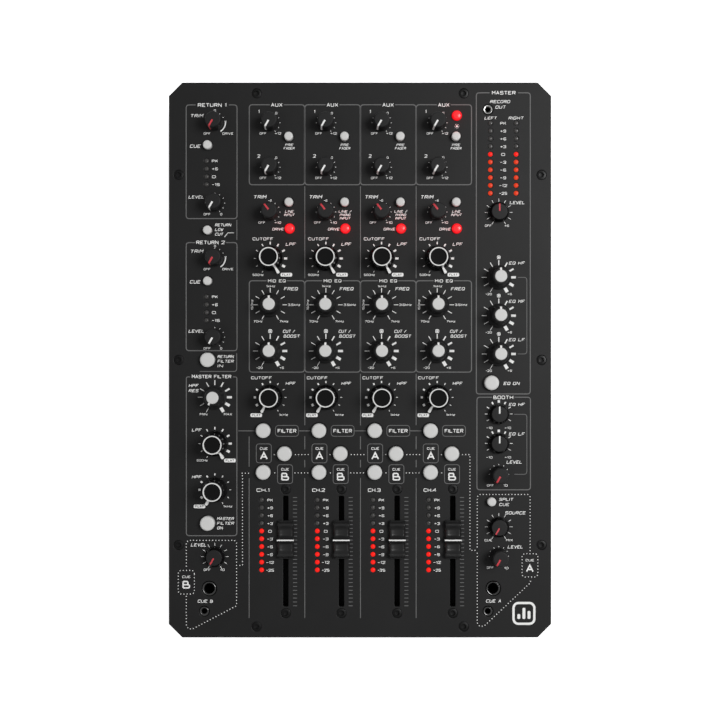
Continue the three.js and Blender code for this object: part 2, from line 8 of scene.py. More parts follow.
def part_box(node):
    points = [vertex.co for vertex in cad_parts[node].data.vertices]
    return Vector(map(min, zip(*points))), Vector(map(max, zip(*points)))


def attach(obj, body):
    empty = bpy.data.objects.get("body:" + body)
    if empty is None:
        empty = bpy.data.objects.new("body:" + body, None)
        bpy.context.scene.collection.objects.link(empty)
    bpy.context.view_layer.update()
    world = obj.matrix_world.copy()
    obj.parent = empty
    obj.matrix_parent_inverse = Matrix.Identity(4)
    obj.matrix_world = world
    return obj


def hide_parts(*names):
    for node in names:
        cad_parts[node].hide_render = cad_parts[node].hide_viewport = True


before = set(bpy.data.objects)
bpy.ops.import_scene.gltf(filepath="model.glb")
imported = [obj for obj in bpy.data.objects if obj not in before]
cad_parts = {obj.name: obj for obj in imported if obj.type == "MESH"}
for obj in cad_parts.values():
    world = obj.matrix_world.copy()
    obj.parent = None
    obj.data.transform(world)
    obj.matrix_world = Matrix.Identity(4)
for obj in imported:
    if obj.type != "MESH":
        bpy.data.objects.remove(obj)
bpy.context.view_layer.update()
MM = 0.001
ROOT = "mixer"

# ---- Layout, in millimetres, from the middle of the face -----------------------------------------
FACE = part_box("faceplate")[1].z / MM
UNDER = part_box("faceplate")[0].z / MM
PLATE_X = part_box("faceplate")[1].x / MM
PLATE_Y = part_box("faceplate")[1].y / MM
PLATE_CHAMFER = 8.7
CHANNELS = range(4)
PITCH = 35.9
STRIP_X = -57.9
LEFT, LEFT_BUTTON = -93.6, -98.1
RIGHT, RIGHT_BUTTON = 89.5, 84.7

# name, style, distance up the strip, pointer angle clockwise from 12 o'clock, pointer ink
STRIP_KNOBS = [
    ("aux_1", "slim", 153.0, -150, "white"),
    ("aux_2", "slim", 124.3, -150, "white"),
    ("trim", "slim", 95.4, -38, "red"),
    ("lpf", "ringed", 65.5, 150, "white"),
    ("freq", "capped", 35.6, 0, "white"),
    ("cut_boost", "capped", 5.8, 0, "white"),
    ("hpf", "ringed", -24.1, -150, "white"),
]
STRIP_BUTTONS = [
    ("pre_fade", "small", 12.0, 143.9),
    ("input", "small", 12.1, 101.6),
    ("filter", "large", -4.4, -45.5),
    ("cue_a", "large", 9.3, -60.3),
    ("cue_b", "large", -4.4, -72.3),
]
SIDE_KNOBS = [
    ("return_1_trim", "slim", LEFT, 153.3, -150, "red"),
    ("return_1_level", "slim", LEFT, 101.2, -150, "white"),
    ("return_2_trim", "slim", LEFT, 65.9, -150, "red"),
    ("return_2_level", "slim", LEFT, 14.7, -150, "white"),
    ("master_filter_res", "capped", LEFT, -24.0, -150, "white"),
    ("master_filter_lpf", "ringed", LEFT, -53.9, 150, "white"),
    ("master_filter_hpf", "ringed", LEFT, -83.7, -150, "white"),
    ("cue_b_level", "low", LEFT, -126.8, -150, "red"),
    ("master_level", "low", RIGHT, 95.2, 0, "red"),
    ("master_eq_hf", "capped", RIGHT, 53.3, 0, "white"),
    ("master_eq_mf", "capped", RIGHT, 28.6, 0, "white"),
    ("master_eq_lf", "capped", RIGHT, 3.9, 0, "white"),
    ("booth_eq_hf", "low", RIGHT, -34.8, 0, "white"),
    ("booth_eq_lf", "low", RIGHT, -53.8, 0, "white"),
    ("booth_level", "slim", RIGHT, -73.7, -150, "red"),
    ("cue_source", "low", RIGHT, -107.6, -150, "red"),
    ("cue_a_level", "slim", RIGHT, -126.6, -150, "red"),
]
SIDE_BUTTONS = [
    ("return_1_cue", "small", LEFT_BUTTON, 138.4),
    ("low_cut", "small", LEFT_BUTTON, 83.6),
    ("return_2_cue", "small", LEFT_BUTTON, 50.9),
    ("return_filter", "large", LEFT_BUTTON, 0.1),
    ("master_filter_on", "large", LEFT_BUTTON, -105.1),
    ("eq_on", "large", RIGHT_BUTTON, -14.7),
    ("split_cue", "small", RIGHT_BUTTON, -91.2),
]
BUTTON_RADIUS = {"small": 2.8, "large": 4.7}
BUTTON_HOLE = {"small": 3.15, "large": 5.1}
BUTTON_RISE = 4
SHAFT_HOLE = 4.2
SCREW_HOLE = 3.15
LED_HOLE, BIG_LED_HOLE = 1.72, 2.9
JACK_HOLE, SMALL_JACK_HOLE = 4.9, 3.4

FADER_DX, FADER_MID = 10, -123.3
FADER_REST = FADER_MID + 7.8
FADER_SCREWS = 80
FADER_SLOT = (3.4, 71.4)
PLATE_SCREWS = [(66.8, 172), (117, 119.4), (117, 0), (66.8, -172), (117, -119.4)]
CUE_B_JACKS = ((-97.2, -147.4), (-100.4, -162.0))
CUE_A_JACKS = ((85.9, -147.3), (82.5, -162.0))
RECORD_JACK = (82.5, 161.5)
METER_LABELS = ["PK", "+9", "+6", "+3", "0", "-3", "-6", "-9", "-12", "-25"]
METER_STEP, RETURN_STEP = 5.02, 5.07
CHANNEL_METER = (-5.5, -90.2)
MASTER_METER = (84.1, 100.7, 152.8)
RETURN_METERS = (-98.9, (128.4, 40.8))
LIT_FROM = 4
DRIVE_LED = (12.6, 84.7)
POWER_LED = (62.4, 157.5)


def strip_x(channel):
    return STRIP_X + channel * PITCH


KNOBS = [
    (f"channel_{i + 1}_{name}", style, strip_x(i), y, angle, ink)
    for i in CHANNELS
    for name, style, y, angle, ink in STRIP_KNOBS
] + SIDE_KNOBS
BUTTONS = [
    (f"channel_{i + 1}_{name}", style, strip_x(i) + dx, y)
    for i in CHANNELS
    for name, style, dx, y in STRIP_BUTTONS
] + SIDE_BUTTONS
STRIP_Y = {name: y for name, _, y, _, _ in STRIP_KNOBS}
SIDE_Y = {name: y for name, _, _, y, _, _ in SIDE_KNOBS}
FADERS = [(f"channel_{i + 1}_fader", strip_x(i) + FADER_DX) for i in CHANNELS]
SCREW_SPOTS = sorted({(sx * x, y) for x, y in PLATE_SCREWS for sx in (-1, 1)})
SCREW_SPOTS += [(x, FADER_MID + s * FADER_SCREWS / 2) for _, x in FADERS for s in (-1, 1)]


# ---- Materials -----------------------------------------------------------------------------------
def node(tree, kind, **values):
    made = tree.nodes.new(kind)
    for key, value in values.items():
        if hasattr(made, key) and key not in made.inputs:
            setattr(made, key, value)
        else:
            made.inputs[key].default_value = value
    return made


def surface(name, colour, roughness, metallic=0.0, grain=0.15, grain_size=0.35, spread=0.18,
            smudge=0.1, coat=0.0, shine=0.5, emission=None, strength=0.0):
    """A painted, moulded or plated finish: fine grain as bump, broad drift in colour and gloss."""
    made = bpy.data.materials.new(name)
    made.use_nodes = True
    tree = made.node_tree
    shader = tree.nodes["Principled BSDF"]
    shader.inputs["Metallic"].default_value = metallic
    shader.inputs["Coat Weight"].default_value = coat
    shader.inputs["Specular IOR Level"].default_value = shine
    place = node(tree, "ShaderNodeTexCoord").outputs["Object"]
    fine = node(tree, "ShaderNodeTexNoise", Scale=1 / (grain_size * MM), Detail=3.0)
    broad = node(tree, "ShaderNodeTexNoise", Scale=22.0, Detail=4.0, Roughness=0.6)
    tree.links.new(place, fine.inputs["Vector"])
    tree.links.new(place, broad.inputs["Vector"])

    mix = node(tree, "ShaderNodeMix", data_type="RGBA")
    mix.inputs[6].default_value = (*[c * (1 - spread) for c in colour], 1)
    mix.inputs[7].default_value = (*[min(1, c * (1 + spread)) for c in colour], 1)
    both = node(tree, "ShaderNodeMath", operation="ADD")
    half = node(tree, "ShaderNodeMath", operation="MULTIPLY")
    half.inputs[1].default_value = 0.5
    tree.links.new(fine.outputs["Fac"], both.inputs[0])
    tree.links.new(broad.outputs["Fac"], both.inputs[1])
    tree.links.new(both.outputs[0], half.inputs[0])
    tree.links.new(half.outputs[0], mix.inputs[0])
    tree.links.new(mix.outputs[2], shader.inputs["Base Color"])

    gloss = node(tree, "ShaderNodeMapRange")
    gloss.inputs["To Min"].default_value = max(0.03, roughness - smudge)
    gloss.inputs["To Max"].default_value = min(1, roughness + smudge)
    tree.links.new(broad.outputs["Fac"], gloss.inputs["Value"])
    tree.links.new(gloss.outputs[0], shader.inputs["Roughness"])

    bump = node(tree, "ShaderNodeBump", Strength=grain, Distance=0.05 * MM)
    tree.links.new(fine.outputs["Fac"], bump.inputs["Height"])
    tree.links.new(bump.outputs["Normal"], shader.inputs["Normal"])
    if emission:
        shader.inputs["Emission Color"].default_value = (*emission, 1)
        shader.inputs["Emission Strength"].default_value = strength
    return made


def lens_finish(name, colour, roughness, glow, strength, shine=0.4):
    """The finish of a lit LED's lens."""
    return surface(name, colour, roughness, grain=0.05, grain_size=0.8, shine=shine, emission=glow,
                   strength=strength)


LOOKS = {
    "coat": surface("black_powder_coat", (0.0085, 0.0085, 0.0087), 0.5, grain=0.5, grain_size=0.4,
                    spread=0.25, shine=0.26),
    "case": surface("case_powder_coat", (0.013, 0.013, 0.0135), 0.55, grain=0.6, grain_size=0.5, spread=0.25,
                    shine=0.35),
    "rubber": surface("soft_black_rubber", (0.012, 0.012, 0.0122), 0.75, grain=0.35, grain_size=0.5,
                      shine=0.3),
    "knob": surface("knob_rubber", (0.0105, 0.0105, 0.0108), 0.55, grain=0.3, grain_size=0.3, shine=0.25),
    "gloss": surface("gloss_black_plastic", (0.002, 0.002, 0.0021), 0.22, grain=0.08, grain_size=0.6,
                     shine=0.25),
    "cap_grey": surface("cap_grey_plastic", (0.58, 0.58, 0.57), 0.42, grain=0.15, grain_size=0.5,
                        spread=0.05),
    "white": surface("white_paint", (0.78, 0.78, 0.77), 0.45, grain=0.1, grain_size=0.4, spread=0.05),
    "red": surface("red_paint", (0.55, 0.035, 0.05), 0.45, grain=0.1, grain_size=0.4, spread=0.1),
    "button": surface("button_white_plastic", (0.6, 0.6, 0.59), 0.38, grain=0.12, grain_size=0.5,
                      spread=0.05),
    "fader": surface("fader_black_plastic", (0.011, 0.011, 0.0112), 0.34, grain=0.15, grain_size=0.3,
                     smudge=0.08, shine=0.4),
    "metal": surface("nickel_plate", (0.55, 0.55, 0.54), 0.25, 1.0, grain=0.08, grain_size=0.8, spread=0.1),
    "dark_metal": surface("black_nickel", (0.14, 0.14, 0.14), 0.24, 1.0, grain=0.08, grain_size=0.8,
                          spread=0.1),
    "steel": surface("bare_steel", (0.4, 0.4, 0.41), 0.38, 1.0, grain=0.15, grain_size=0.6, spread=0.12),
    "screw": surface("black_oxide", (0.006, 0.006, 0.0062), 0.4, 0.4, grain=0.2, grain_size=0.4, shine=0.35),
    "moulded": surface("moulded_black", (0.009, 0.009, 0.0095), 0.5, grain=0.25, grain_size=0.5, shine=0.35),
    # Painted shade: a near-black finish for the bottoms of bores, sockets and the fader slot, standing in
    # for the shade deep in those recesses.
    "hollow": surface("painted_shade_black", (0.004, 0.004, 0.004), 0.8, grain=0.1, grain_size=0.5),
    "board": surface("green_board", (0.02, 0.09, 0.04), 0.4, grain=0.15, grain_size=1.2, spread=0.25),
    "copper": surface("wound_copper", (0.55, 0.25, 0.1), 0.35, 1.0, grain=0.4, grain_size=0.7),
    "blue_sleeve": surface("capacitor_sleeve", (0.02, 0.03, 0.09), 0.4, grain=0.1, grain_size=0.8),
    "red_ring": surface("red_insulator", (0.5, 0.02, 0.02), 0.4, grain=0.1, grain_size=0.5),
    "ink": surface("white_ink", (0.8, 0.8, 0.79), 0.55, grain=0.15, grain_size=0.3, spread=0.08),
    "grey_ink": surface("grey_ink", (0.12, 0.12, 0.12), 0.55, grain=0.15, grain_size=0.3, spread=0.1),
    "dark_ink": surface("dark_ink", (0.02, 0.02, 0.02), 0.55, grain=0.15, grain_size=0.3),
    "led_off": surface("led_unlit", (0.045, 0.043, 0.042), 0.25, grain=0.05, grain_size=0.8, coat=0.3),
    "led_rim": surface("led_rim", (0.012, 0.012, 0.012), 0.4, grain=0.1, grain_size=0.5),
    "led_on": lens_finish("led_lit", (0.2, 0.008, 0.005), 0.3, (1.0, 0.008, 0.003), 0.85, 0.3),
    "led_orange": lens_finish("led_lit_orange", (0.2, 0.02, 0.008), 0.3, (1.0, 0.05, 0.006), 0.58, 0.3),
    "led_core": lens_finish("led_core", (0.3, 0.03, 0.03), 0.25, (1.0, 0.006, 0.012), 0.9),
    "led_drive": lens_finish("led_drive", (0.3, 0.006, 0.008), 0.25, (1.0, 0.008, 0.016), 0.85),
    "led_edge": lens_finish("led_edge", (0.2, 0.004, 0.006), 0.25, (1.0, 0.004, 0.008), 0.68),
}


# ---- Mesh building -------------------------------------------------------------------------------
def fillet(points, radius, steps=3):
    """The same open path with its inner corners rounded."""
    points = [Vector(p) for p in points]
    out = [points[0]]
    for a, b, c in zip(points, points[1:], points[2:]):
        back, ahead = a - b, c - b
        turn = back.angle(ahead)
        reach = radius / max(math.tan(turn / 2), 0.05)
        reach = min(reach, 0.46 * back.length, 0.46 * ahead.length)
        p, q = b + back.normalized() * reach, b + ahead.normalized() * reach
        for i in range(steps + 1):
            t = i / steps
            out.append(p * (1 - t) ** 2 + b * (2 * t * (1 - t)) + q * t ** 2)
    out.append(points[-1])
    return out


def rounded_rectangle(x, y, width, length, radius, steps=4):
    a, b = width / 2, length / 2
    points = []
    for turn, cx, cy in ((0, a, b), (1, -a, b), (2, -a, -b), (3, a, -b)):
        sx, sy = (1 if cx > 0 else -1), (1 if cy > 0 else -1)
        for i in range(steps + 1):
            angle = math.pi / 2 * (turn + i / steps)
            points.append((x + cx - sx * radius + radius * math.cos(angle),
                           y + cy - sy * radius + radius * math.sin(angle)))
    return points


def octagon(half_x, half_y, chamfer):
    a, b, c = half_x, half_y, chamfer
    return [(a, -b + c), (a, b - c), (a - c, b), (-a + c, b),
            (-a, b - c), (-a, -b + c), (-a + c, -b), (a - c, -b)]


def circle(x, y, radius, sides):
    turns = [2 * math.pi * i / sides for i in range(sides)]
    return [(x + radius * math.cos(t), y + radius * math.sin(t)) for t in turns]


def millimetres(x, y, z):
    return Matrix.Translation((x * MM, y * MM, z * MM))


def link(made):
    bpy.context.scene.collection.objects.link(made)


ALONG_Y = Matrix.Rotation(math.radians(-90), 4, "X")  # turns +Z to +Y
STAND_UP = Matrix.Rotation(math.radians(90), 4, "X")  # turns +Z to -Y


class Builder:
    """Collects closed bodies in millimetres and turns them into one Blender piece."""

    def __init__(self):
        self.bm = bmesh.new()
        self.looks = []

    def index(self, look):
        if look not in self.looks:
            self.looks.append(look)
        return self.looks.index(look)

    def skin(self, rings, look, closed=False):
        """Joins rings of points, each as long as the last or a single pole."""
        made = [[self.bm.verts.new(p) for p in ring] for ring in rings]
        pairs = list(zip(made, made[1:])) + ([(made[-1], made[0])] if closed else [])
        faces = []
        for low, high in pairs:
            count = max(len(low), len(high))
            for i in range(count):
                j = (i + 1) % count
                corners = [low[i % len(low)], low[j % len(low)], high[j % len(high)], high[i % len(high)]]
                faces.append(self.bm.faces.new(list(dict.fromkeys(corners))))
        if not closed:
            for end in (made[0], made[-1]):
                if len(end) > 2:
                    faces.append(self.bm.faces.new(end))
        for face in faces:
            face.material_index = self.index(look)
            face.smooth = True
        bmesh.ops.recalc_face_normals(self.bm, faces=faces)

    def lathe(self, profile, look, sides=40, place=Matrix(), closed=False):
        """Turns (radius, height) points about Z."""
        rings = []
        for radius, height in profile:
            if radius < 1e-4:
                rings.append([place @ Vector((0, 0, height))])
            else:
                rings.append([place @ Vector((x, y, height)) for x, y in circle(0, 0, radius, sides)])
        self.skin(rings, look, closed)

    def prism(self, outline, z0, z1, look, place=Matrix()):
        self.skin([[place @ Vector((x, y, z)) for x, y in outline] for z in (z0, z1)], look)

    def box(self, low, high, look, place=Matrix()):
        outline = [(low[0], low[1]), (high[0], low[1]), (high[0], high[1]), (low[0], high[1])]
        self.prism(outline, low[2], high[2], look, place)

    def ribbon(self, path, width, z0, z1, look, closed=False):
        """A flat printed line of constant width along a path."""
        points = [Vector(p) for p in path]
        rings = []
        for i, here in enumerate(points):
            before = points[i - 1] if (i or closed) else None
            after = points[(i + 1) % len(points)] if (i + 1 < len(points) or closed) else None
            d1 = (here - before).normalized() if before is not None else (after - here).normalized()
            d2 = (after - here).normalized() if after is not None else d1
            mean = (d1 + d2).normalized()
            side = Vector((-mean.y, mean.x)) * (width / 2 / max(0.3, mean.dot(d1)))
            a, b = here - side, here + side
            rings.append([(a.x, a.y, z0), (b.x, b.y, z0), (b.x, b.y, z1), (a.x, a.y, z1)])
        self.skin(rings, look, closed)

    def stripe(self, path, width, look, lift=0.07, depth=0.4):
        """An inlaid line that runs up a turned surface at 12 o'clock; path is (radius, height)."""
        points = [Vector(p) for p in path]
        rings = []
        for i, here in enumerate(points):
            ahead = points[min(i + 1, len(points) - 1)] - points[max(i - 1, 0)]
            out = Vector((ahead.y, -ahead.x)).normalized()
            outer, inner = here + out * lift, here - out * depth
            w = width / 2
            rings.append([(-w, *outer), (w, *outer), (w, *inner), (-w, *inner)])
        self.skin(rings, look)

    def mesh(self, name, sharp=32):
        bmesh.ops.scale(self.bm, vec=(MM, MM, MM), verts=self.bm.verts)
        data = bpy.data.meshes.new(name)
        self.bm.to_mesh(data)
        self.bm.free()
        for look in self.looks:
            data.materials.append(LOOKS[look])
        data.set_sharp_from_angle(angle=math.radians(sharp))
        return data

    def piece(self, name, slot="panel", replaced=(), bevel=0):
        add_piece(name, self.mesh(name), ROOT, replaced, bevel)


def add_piece(name, data, body=ROOT, replaced=(), bevel=0, place=None):
    made = bpy.data.objects.new(name, data)
    link(made)
    if place is not None:
        made.matrix_world = place
    if bevel:
        soften(made, bevel)
    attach(made, body)
    if replaced:
        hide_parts(*replaced)


def soften(made, width):
    """A small rounded bevel on every real edge."""
    modifier = made.modifiers.new("soft_edges", "BEVEL")
    modifier.width = width * MM
    modifier.segments = 2
    modifier.limit_method = "ANGLE"
    modifier.angle_limit = math.radians(35)


def plate_mesh(name, outline, holes, thickness, edge, look):
    """A flat sheet with smooth holes and softened rims, in XY from z = 0 up."""
    curve = bpy.data.curves.new(name, "CURVE")
    curve.dimensions = "2D"
    curve.fill_mode = "BOTH"
    curve.extrude = (thickness / 2 - edge) * MM
    curve.bevel_depth = edge * MM
    curve.bevel_resolution = 1
    curve.offset = -edge * MM
    for path in [outline, *holes]:
        line = curve.splines.new("POLY")
        line.points.add(len(path) - 1)
        for point, (x, y) in zip(line.points, path):
            point.co = (x * MM, y * MM, 0, 1)
        line.use_cyclic_u = True
    holder = bpy.data.objects.new(name + "_curve", curve)
    link(holder)
    graph = bpy.context.evaluated_depsgraph_get()
    data = bpy.data.meshes.new_from_object(holder.evaluated_get(graph))
    bpy.data.objects.remove(holder)
    bm = bmesh.new()
    bm.from_mesh(data)
    bmesh.ops.remove_doubles(bm, verts=bm.verts, dist=1e-6)
    bmesh.ops.translate(bm, verts=bm.verts, vec=(0, 0, thickness / 2 * MM))
    bmesh.ops.recalc_face_normals(bm, faces=bm.faces)
    for face in bm.faces:
        face.normal_update()
        face.smooth = abs(face.normal.z) < 0.1
        face.material_index = 0
    bm.to_mesh(data)
    bm.free()
    data.materials.clear()
    data.materials.append(LOOKS[look])
    data.set_sharp_from_angle(angle=math.radians(20))
    return data


# ---- Faceplate and its hardware ------------------------------------------------------------------
def meter_spots():
    """(x, y, lit look or None) of every 3 mm LED in the face."""
    spots = []
    for i in CHANNELS:
        for row in range(len(METER_LABELS)):
            lit = "led_on" if row >= LIT_FROM else None
            spots.append((strip_x(i) + CHANNEL_METER[0], CHANNEL_METER[1] - row * METER_STEP, lit))
    for x in MASTER_METER[:2]:
        for row in range(len(METER_LABELS)):
            lit = ("led_on" if row == LIT_FROM else "led_orange") if row >= LIT_FROM else None
            spots.append((x, MASTER_METER[2] - row * METER_STEP, lit))
    for top in RETURN_METERS[1]:
        spots += [(RETURN_METERS[0], top - row * RETURN_STEP, None) for row in range(4)]
    return spots


BIG_LEDS = [(strip_x(i) + DRIVE_LED[0], DRIVE_LED[1]) for i in CHANNELS] + [POWER_LED]


def faceplate():
    holes = [circle(x, y, SHAFT_HOLE, 24) for _, _, x, y, _, _ in KNOBS]
    holes += [circle(x, y, BUTTON_HOLE[style], 40) for _, style, x, y in BUTTONS]
    holes += [rounded_rectangle(x, FADER_MID, *FADER_SLOT, 0.8) for _, x in FADERS]
    holes += [circle(x, y, SCREW_HOLE, 32) for x, y in SCREW_SPOTS]
    holes += [circle(x, y, LED_HOLE, 20) for x, y, _ in meter_spots()]
    holes += [circle(x, y, BIG_LED_HOLE, 32) for x, y in BIG_LEDS]
    holes += [circle(*jacks[0], JACK_HOLE, 40) for jacks in (CUE_A_JACKS, CUE_B_JACKS)]
    holes += [circle(*at, SMALL_JACK_HOLE, 32) for at in (CUE_A_JACKS[1], CUE_B_JACKS[1], RECORD_JACK)]
    outline = octagon(PLATE_X, PLATE_Y, PLATE_CHAMFER)
    data = plate_mesh("control_face", outline, holes, FACE - UNDER, 0.3, "coat")
    add_piece("control_face", data, replaced=["faceplate"], place=millimetres(0, 0, UNDER))


def screws():
    """Countersunk screws with a round socket, a little below the face."""
    build = Builder()
    for x, y in SCREW_SPOTS:
        at = Matrix.Translation((x, y, FACE))
        socket = [(1.55, -0.42), (1.5, -1.5), (0, -1.7)]
        head = fillet([(0, -6), (1.4, -6), (1.4, -2.0), (3.0, -0.75), (3.0, -0.3), (1.7, -0.25)], 0.12, 2)
        build.lathe([*head, *socket], "screw", 24, at)
    build.piece("face_screws")


def leds():
    lit, dark, rims = Builder(), Builder(), Builder()
    lens = fillet([(0, -4), (1.48, -4), (1.48, 0.1), (0.8, 0.55), (0, 0.65)], 0.5, 3)
    rim = [(1.52, -2.6), (1.66, -2.6), (1.66, -0.25), (1.52, -0.25)]
    for x, y, look in meter_spots():
        at = Matrix.Translation((x, y, FACE))
        (lit if look else dark).lathe(lens, look or "led_off", 16, at)
        rims.lathe(rim, "led_rim", 16, at, closed=True)
    dome = [(3.3, 0.2), (3.3, 0.9), (2.95, 1.65), (2.2, 2.25), (1.3, 2.52), (0, 2.6)]
    bands = (("led_edge", [(0, -4), (2.55, -4), (2.55, 0.15), *dome[:3], (0, 1.6)]),
             ("led_drive", [(0, 1.65), *dome[2:4], (0, 2.2)]),
             ("led_core", [(0, 2.25), *dome[3:]]))
    bezel = fillet([(2.6, -2), (2.8, -2), (2.8, 0.05), (2.6, 0.1)], 0.05, 2)
    for x, y in BIG_LEDS:
        at = Matrix.Translation((x, y, FACE))
        for look, band in bands:
            lit.lathe(band, look, 28, at)
        rims.lathe(bezel, "led_rim", 24, at, closed=True)
    lit.piece("leds_lit", slot="button")
    dark.piece("leds_unlit", slot="button")
    rims.piece("led_rims", slot="connector")


def panel_jack(build, x, y, bush, bore, depth, body, plating="dark_metal"):
    at = Matrix.Translation((x, y, FACE))
    ring = [(bore, -depth), (bush, -depth), (bush, 0.15), (bush - 0.35, 0.38), (bore + 0.45, 0.3),
            (bore, -0.15)]
    build.lathe(fillet(ring, 0.1, 2), plating, 40, at, closed=True)
    # The bore's closed end is near black: painted shade at the bottom of the socket.
    end = [(0, -depth - 1), (bush + 1, -depth - 1), (bush + 1, -depth + 0.5), (0, -depth + 0.5)]
    build.lathe(end, "hollow", 32, at)
    half = body / 2
    for sx, sy in ((-1, 0), (1, 0), (0, -1), (0, 1)):
        a = bush + 0.1
        low = (x + (a if sx > 0 else -half), y + (a if sy > 0 else -half), FACE - depth)
        high = (x + (-a if sx < 0 else half), y + (-a if sy < 0 else half), UNDER - 0.4)
        build.box(low, high, "moulded")


def jacks():
    for name, spots in (("cue_a", CUE_A_JACKS), ("cue_b", CUE_B_JACKS)):
        build = Builder()
        panel_jack(build, *spots[0], 4.4, 3.35, 26, 14)
        panel_jack(build, *spots[1], 2.95, 1.75, 14, 8)
        foot = FACE - 28
        low = (spots[1][0] - 5, spots[1][1] - 5, foot)
        build.box(low, (spots[0][0] + 8, spots[0][1] + 8, foot + 1.6), "board")
        build.piece(f"{name}_sockets", slot="jack_metal", replaced=[f"{name}_jacks"])
    build = Builder()
    panel_jack(build, *RECORD_JACK, 2.95, 1.75, 14, 8, "metal")
    build.piece("record_socket", slot="jack_metal")


# ---- Knobs, buttons, faders ----------------------------------------------------------------------
def shaft(build):
    build.lathe([(0, -10.4), (3.0, -10.4), (3.0, 1.5), (0, 1.5)], "steel", 20)


def slim_knob(ink):
    build = Builder()
    side = fillet([(5.5, 0.9), (5.55, 1.6), (5.05, 12.1), (4.35, 12.65), (0, 12.5)], 0.45, 4)
    build.lathe([(0, 0.9), *side], "knob", 48)
    pointer = [(5.52, 1.9), (5.36, 6), (5.1, 11.4), (4.97, 12.05), (4.6, 12.46), (4.2, 12.62), (0.5, 12.52)]
    build.stripe(pointer, 1.15, ink)
    shaft(build)
    return build.mesh(f"slim_knob_{ink}")


def ringed_knob(ink):
    build = Builder()
    wall = [(7.9, 0.9), (8.15, 1.3), (7.9, 2.4), (6.9, 3.3), (6.0, 15.4), (5.2, 15.5), (4.9, 15.2)]
    build.lathe([(0, 0.9), *fillet(wall, 0.4, 3), (0, 15.1)], "gloss", 48)
    ring = [(5.2, 15.2), (5.95, 15.2), (6.0, 16.2), (5.88, 16.75), (5.38, 16.75), (5.2, 16.3)]
    build.lathe(ring, ink, 56, closed=True)
    rib = [(9.4, 3.0), (7.2, 3.4), (6.75, 4.4), (6.35, 10), (6.1, 15.2), (6.05, 16.2)]
    build.stripe(rib, 1.2, ink, 0.12, 0.6)
    tip = [math.pi * k / 8 for k in range(9)]
    lug = [(-0.6, 6.9), (0.6, 6.9), *[(0.95 * math.cos(t), 10.3 + 0.95 * math.sin(t)) for t in tip]]
    build.prism(lug, 1.0, 3.05, ink)
    shaft(build)
    return build.mesh(f"ringed_knob_{ink}")


def capped_knob(ink):
    build = Builder()
    wall = [(7.6, 0.9), (7.85, 1.3), (7.6, 2.4), (6.4, 3.2), (5.3, 13.2), (4.6, 13.8)]
    build.lathe([(0, 0.9), *fillet(wall, 0.4, 3), (0, 13.8)], "knob", 48)
    cap = fillet([(3.85, 13.5), (3.85, 14.7), (3.4, 14.95), (0, 14.8)], 0.25, 3)
    build.lathe([(0, 13.5), *cap], "cap_grey", 40)
    build.stripe([(5.3, 13.35), (5.15, 13.6), (4.7, 13.95), (3.6, 14.05)], 1.25, ink, 0.16, 0.5)
    shaft(build)
    return build.mesh(f"capped_knob_{ink}")


def low_knob(ink):
    build = Builder()
    wall = [(6.4, 0.9), (6.5, 1.3), (6.35, 3.0), (5.35, 5.1), (5.1, 5.5)]
    build.lathe([(0, 0.9), *fillet(wall, 0.3, 3), (0, 5.5)], "gloss", 48)
    build.lathe(fillet([(0, 5.2), (5.0, 5.2), (5.0, 5.7), (4.7, 5.82), (0, 5.7)], 0.15, 2), "knob", 48)
    build.stripe([(5.0, 5.62), (4.7, 5.84), (0.4, 5.74)], 0.95, ink, 0.05, 0.3)
    shaft(build)
    return build.mesh(f"low_knob_{ink}")


KNOB_MAKERS = {"slim": slim_knob, "ringed": ringed_knob, "capped": capped_knob, "low": low_knob}


def add_control(kind, name, data, x, y, angle=0):
    """One knob or key, on its own body where the CAD has that node and on the case where it hasn't."""
    node_name = f"{name}_{kind}"
    moving = node_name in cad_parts
    place = millimetres(x, y, FACE) @ Matrix.Rotation(math.radians(-angle), 4, "Z")
    prefix = "dial" if kind == "knob" else "key"
    add_piece(f"{prefix}_{name}", data, f"{node_name}_body" if moving else ROOT,
              [node_name] if moving else [], place=place)


def knobs():
    made = {}
    for name, style, x, y, angle, ink in KNOBS:
        if (style, ink) not in made:
            made[style, ink] = KNOB_MAKERS[style](ink)
        add_control("knob", name, made[style, ink], x, y, angle)


def button_mesh(style):
    r = BUTTON_RADIUS[style]
    edge = 0.55 if style == "small" else 0.75
    build = Builder()
    top = BUTTON_RISE
    side = [(r, -5.2), (r, top - edge), (r - edge, top - 0.08), (r * 0.5, top - 0.02), (0, top)]
    build.lathe([(0, -5.2), *fillet(side, edge * 0.7, 4)], "button", 40)
    build.box((-1.2, -1.2, -10.1), (1.2, 1.2, -5), "button")
    return build.mesh(f"{style}_button")


def buttons():
    made = {style: button_mesh(style) for style in BUTTON_RADIUS}
    for name, style, x, y in BUTTONS:
        add_control("button", name, made[style], x, y)


def smooth_step(value, start, end):
    t = min(1, max(0, (value - start) / (end - start)))
    return t * t * (3 - 2 * t)


def cap_height(v):
    """Height of the fader cap at v from its middle: a raised ridge between two hollows."""
    v = abs(v)
    rise = 2.5 + 2.7 * (1 - smooth_step(v, 9.2, 12.3) ** 1.5)
    dip = 1.7 * smooth_step(v, 0.5, 3.0) * (1 - smooth_step(v, 6.2, 9.8))
    return rise - dip + 0.75 * (1 - smooth_step(v, 0.4, 1.3))


def cap_width(v):
    """Half the fader cap's width at its top: full at the ridge and at both ends, waisted at the pads."""
    v = abs(v)
    return 4.5 + 0.75 * (1 - smooth_step(v, 0.5, 2.2)) + 0.6 * smooth_step(v, 6.5, 10.5)


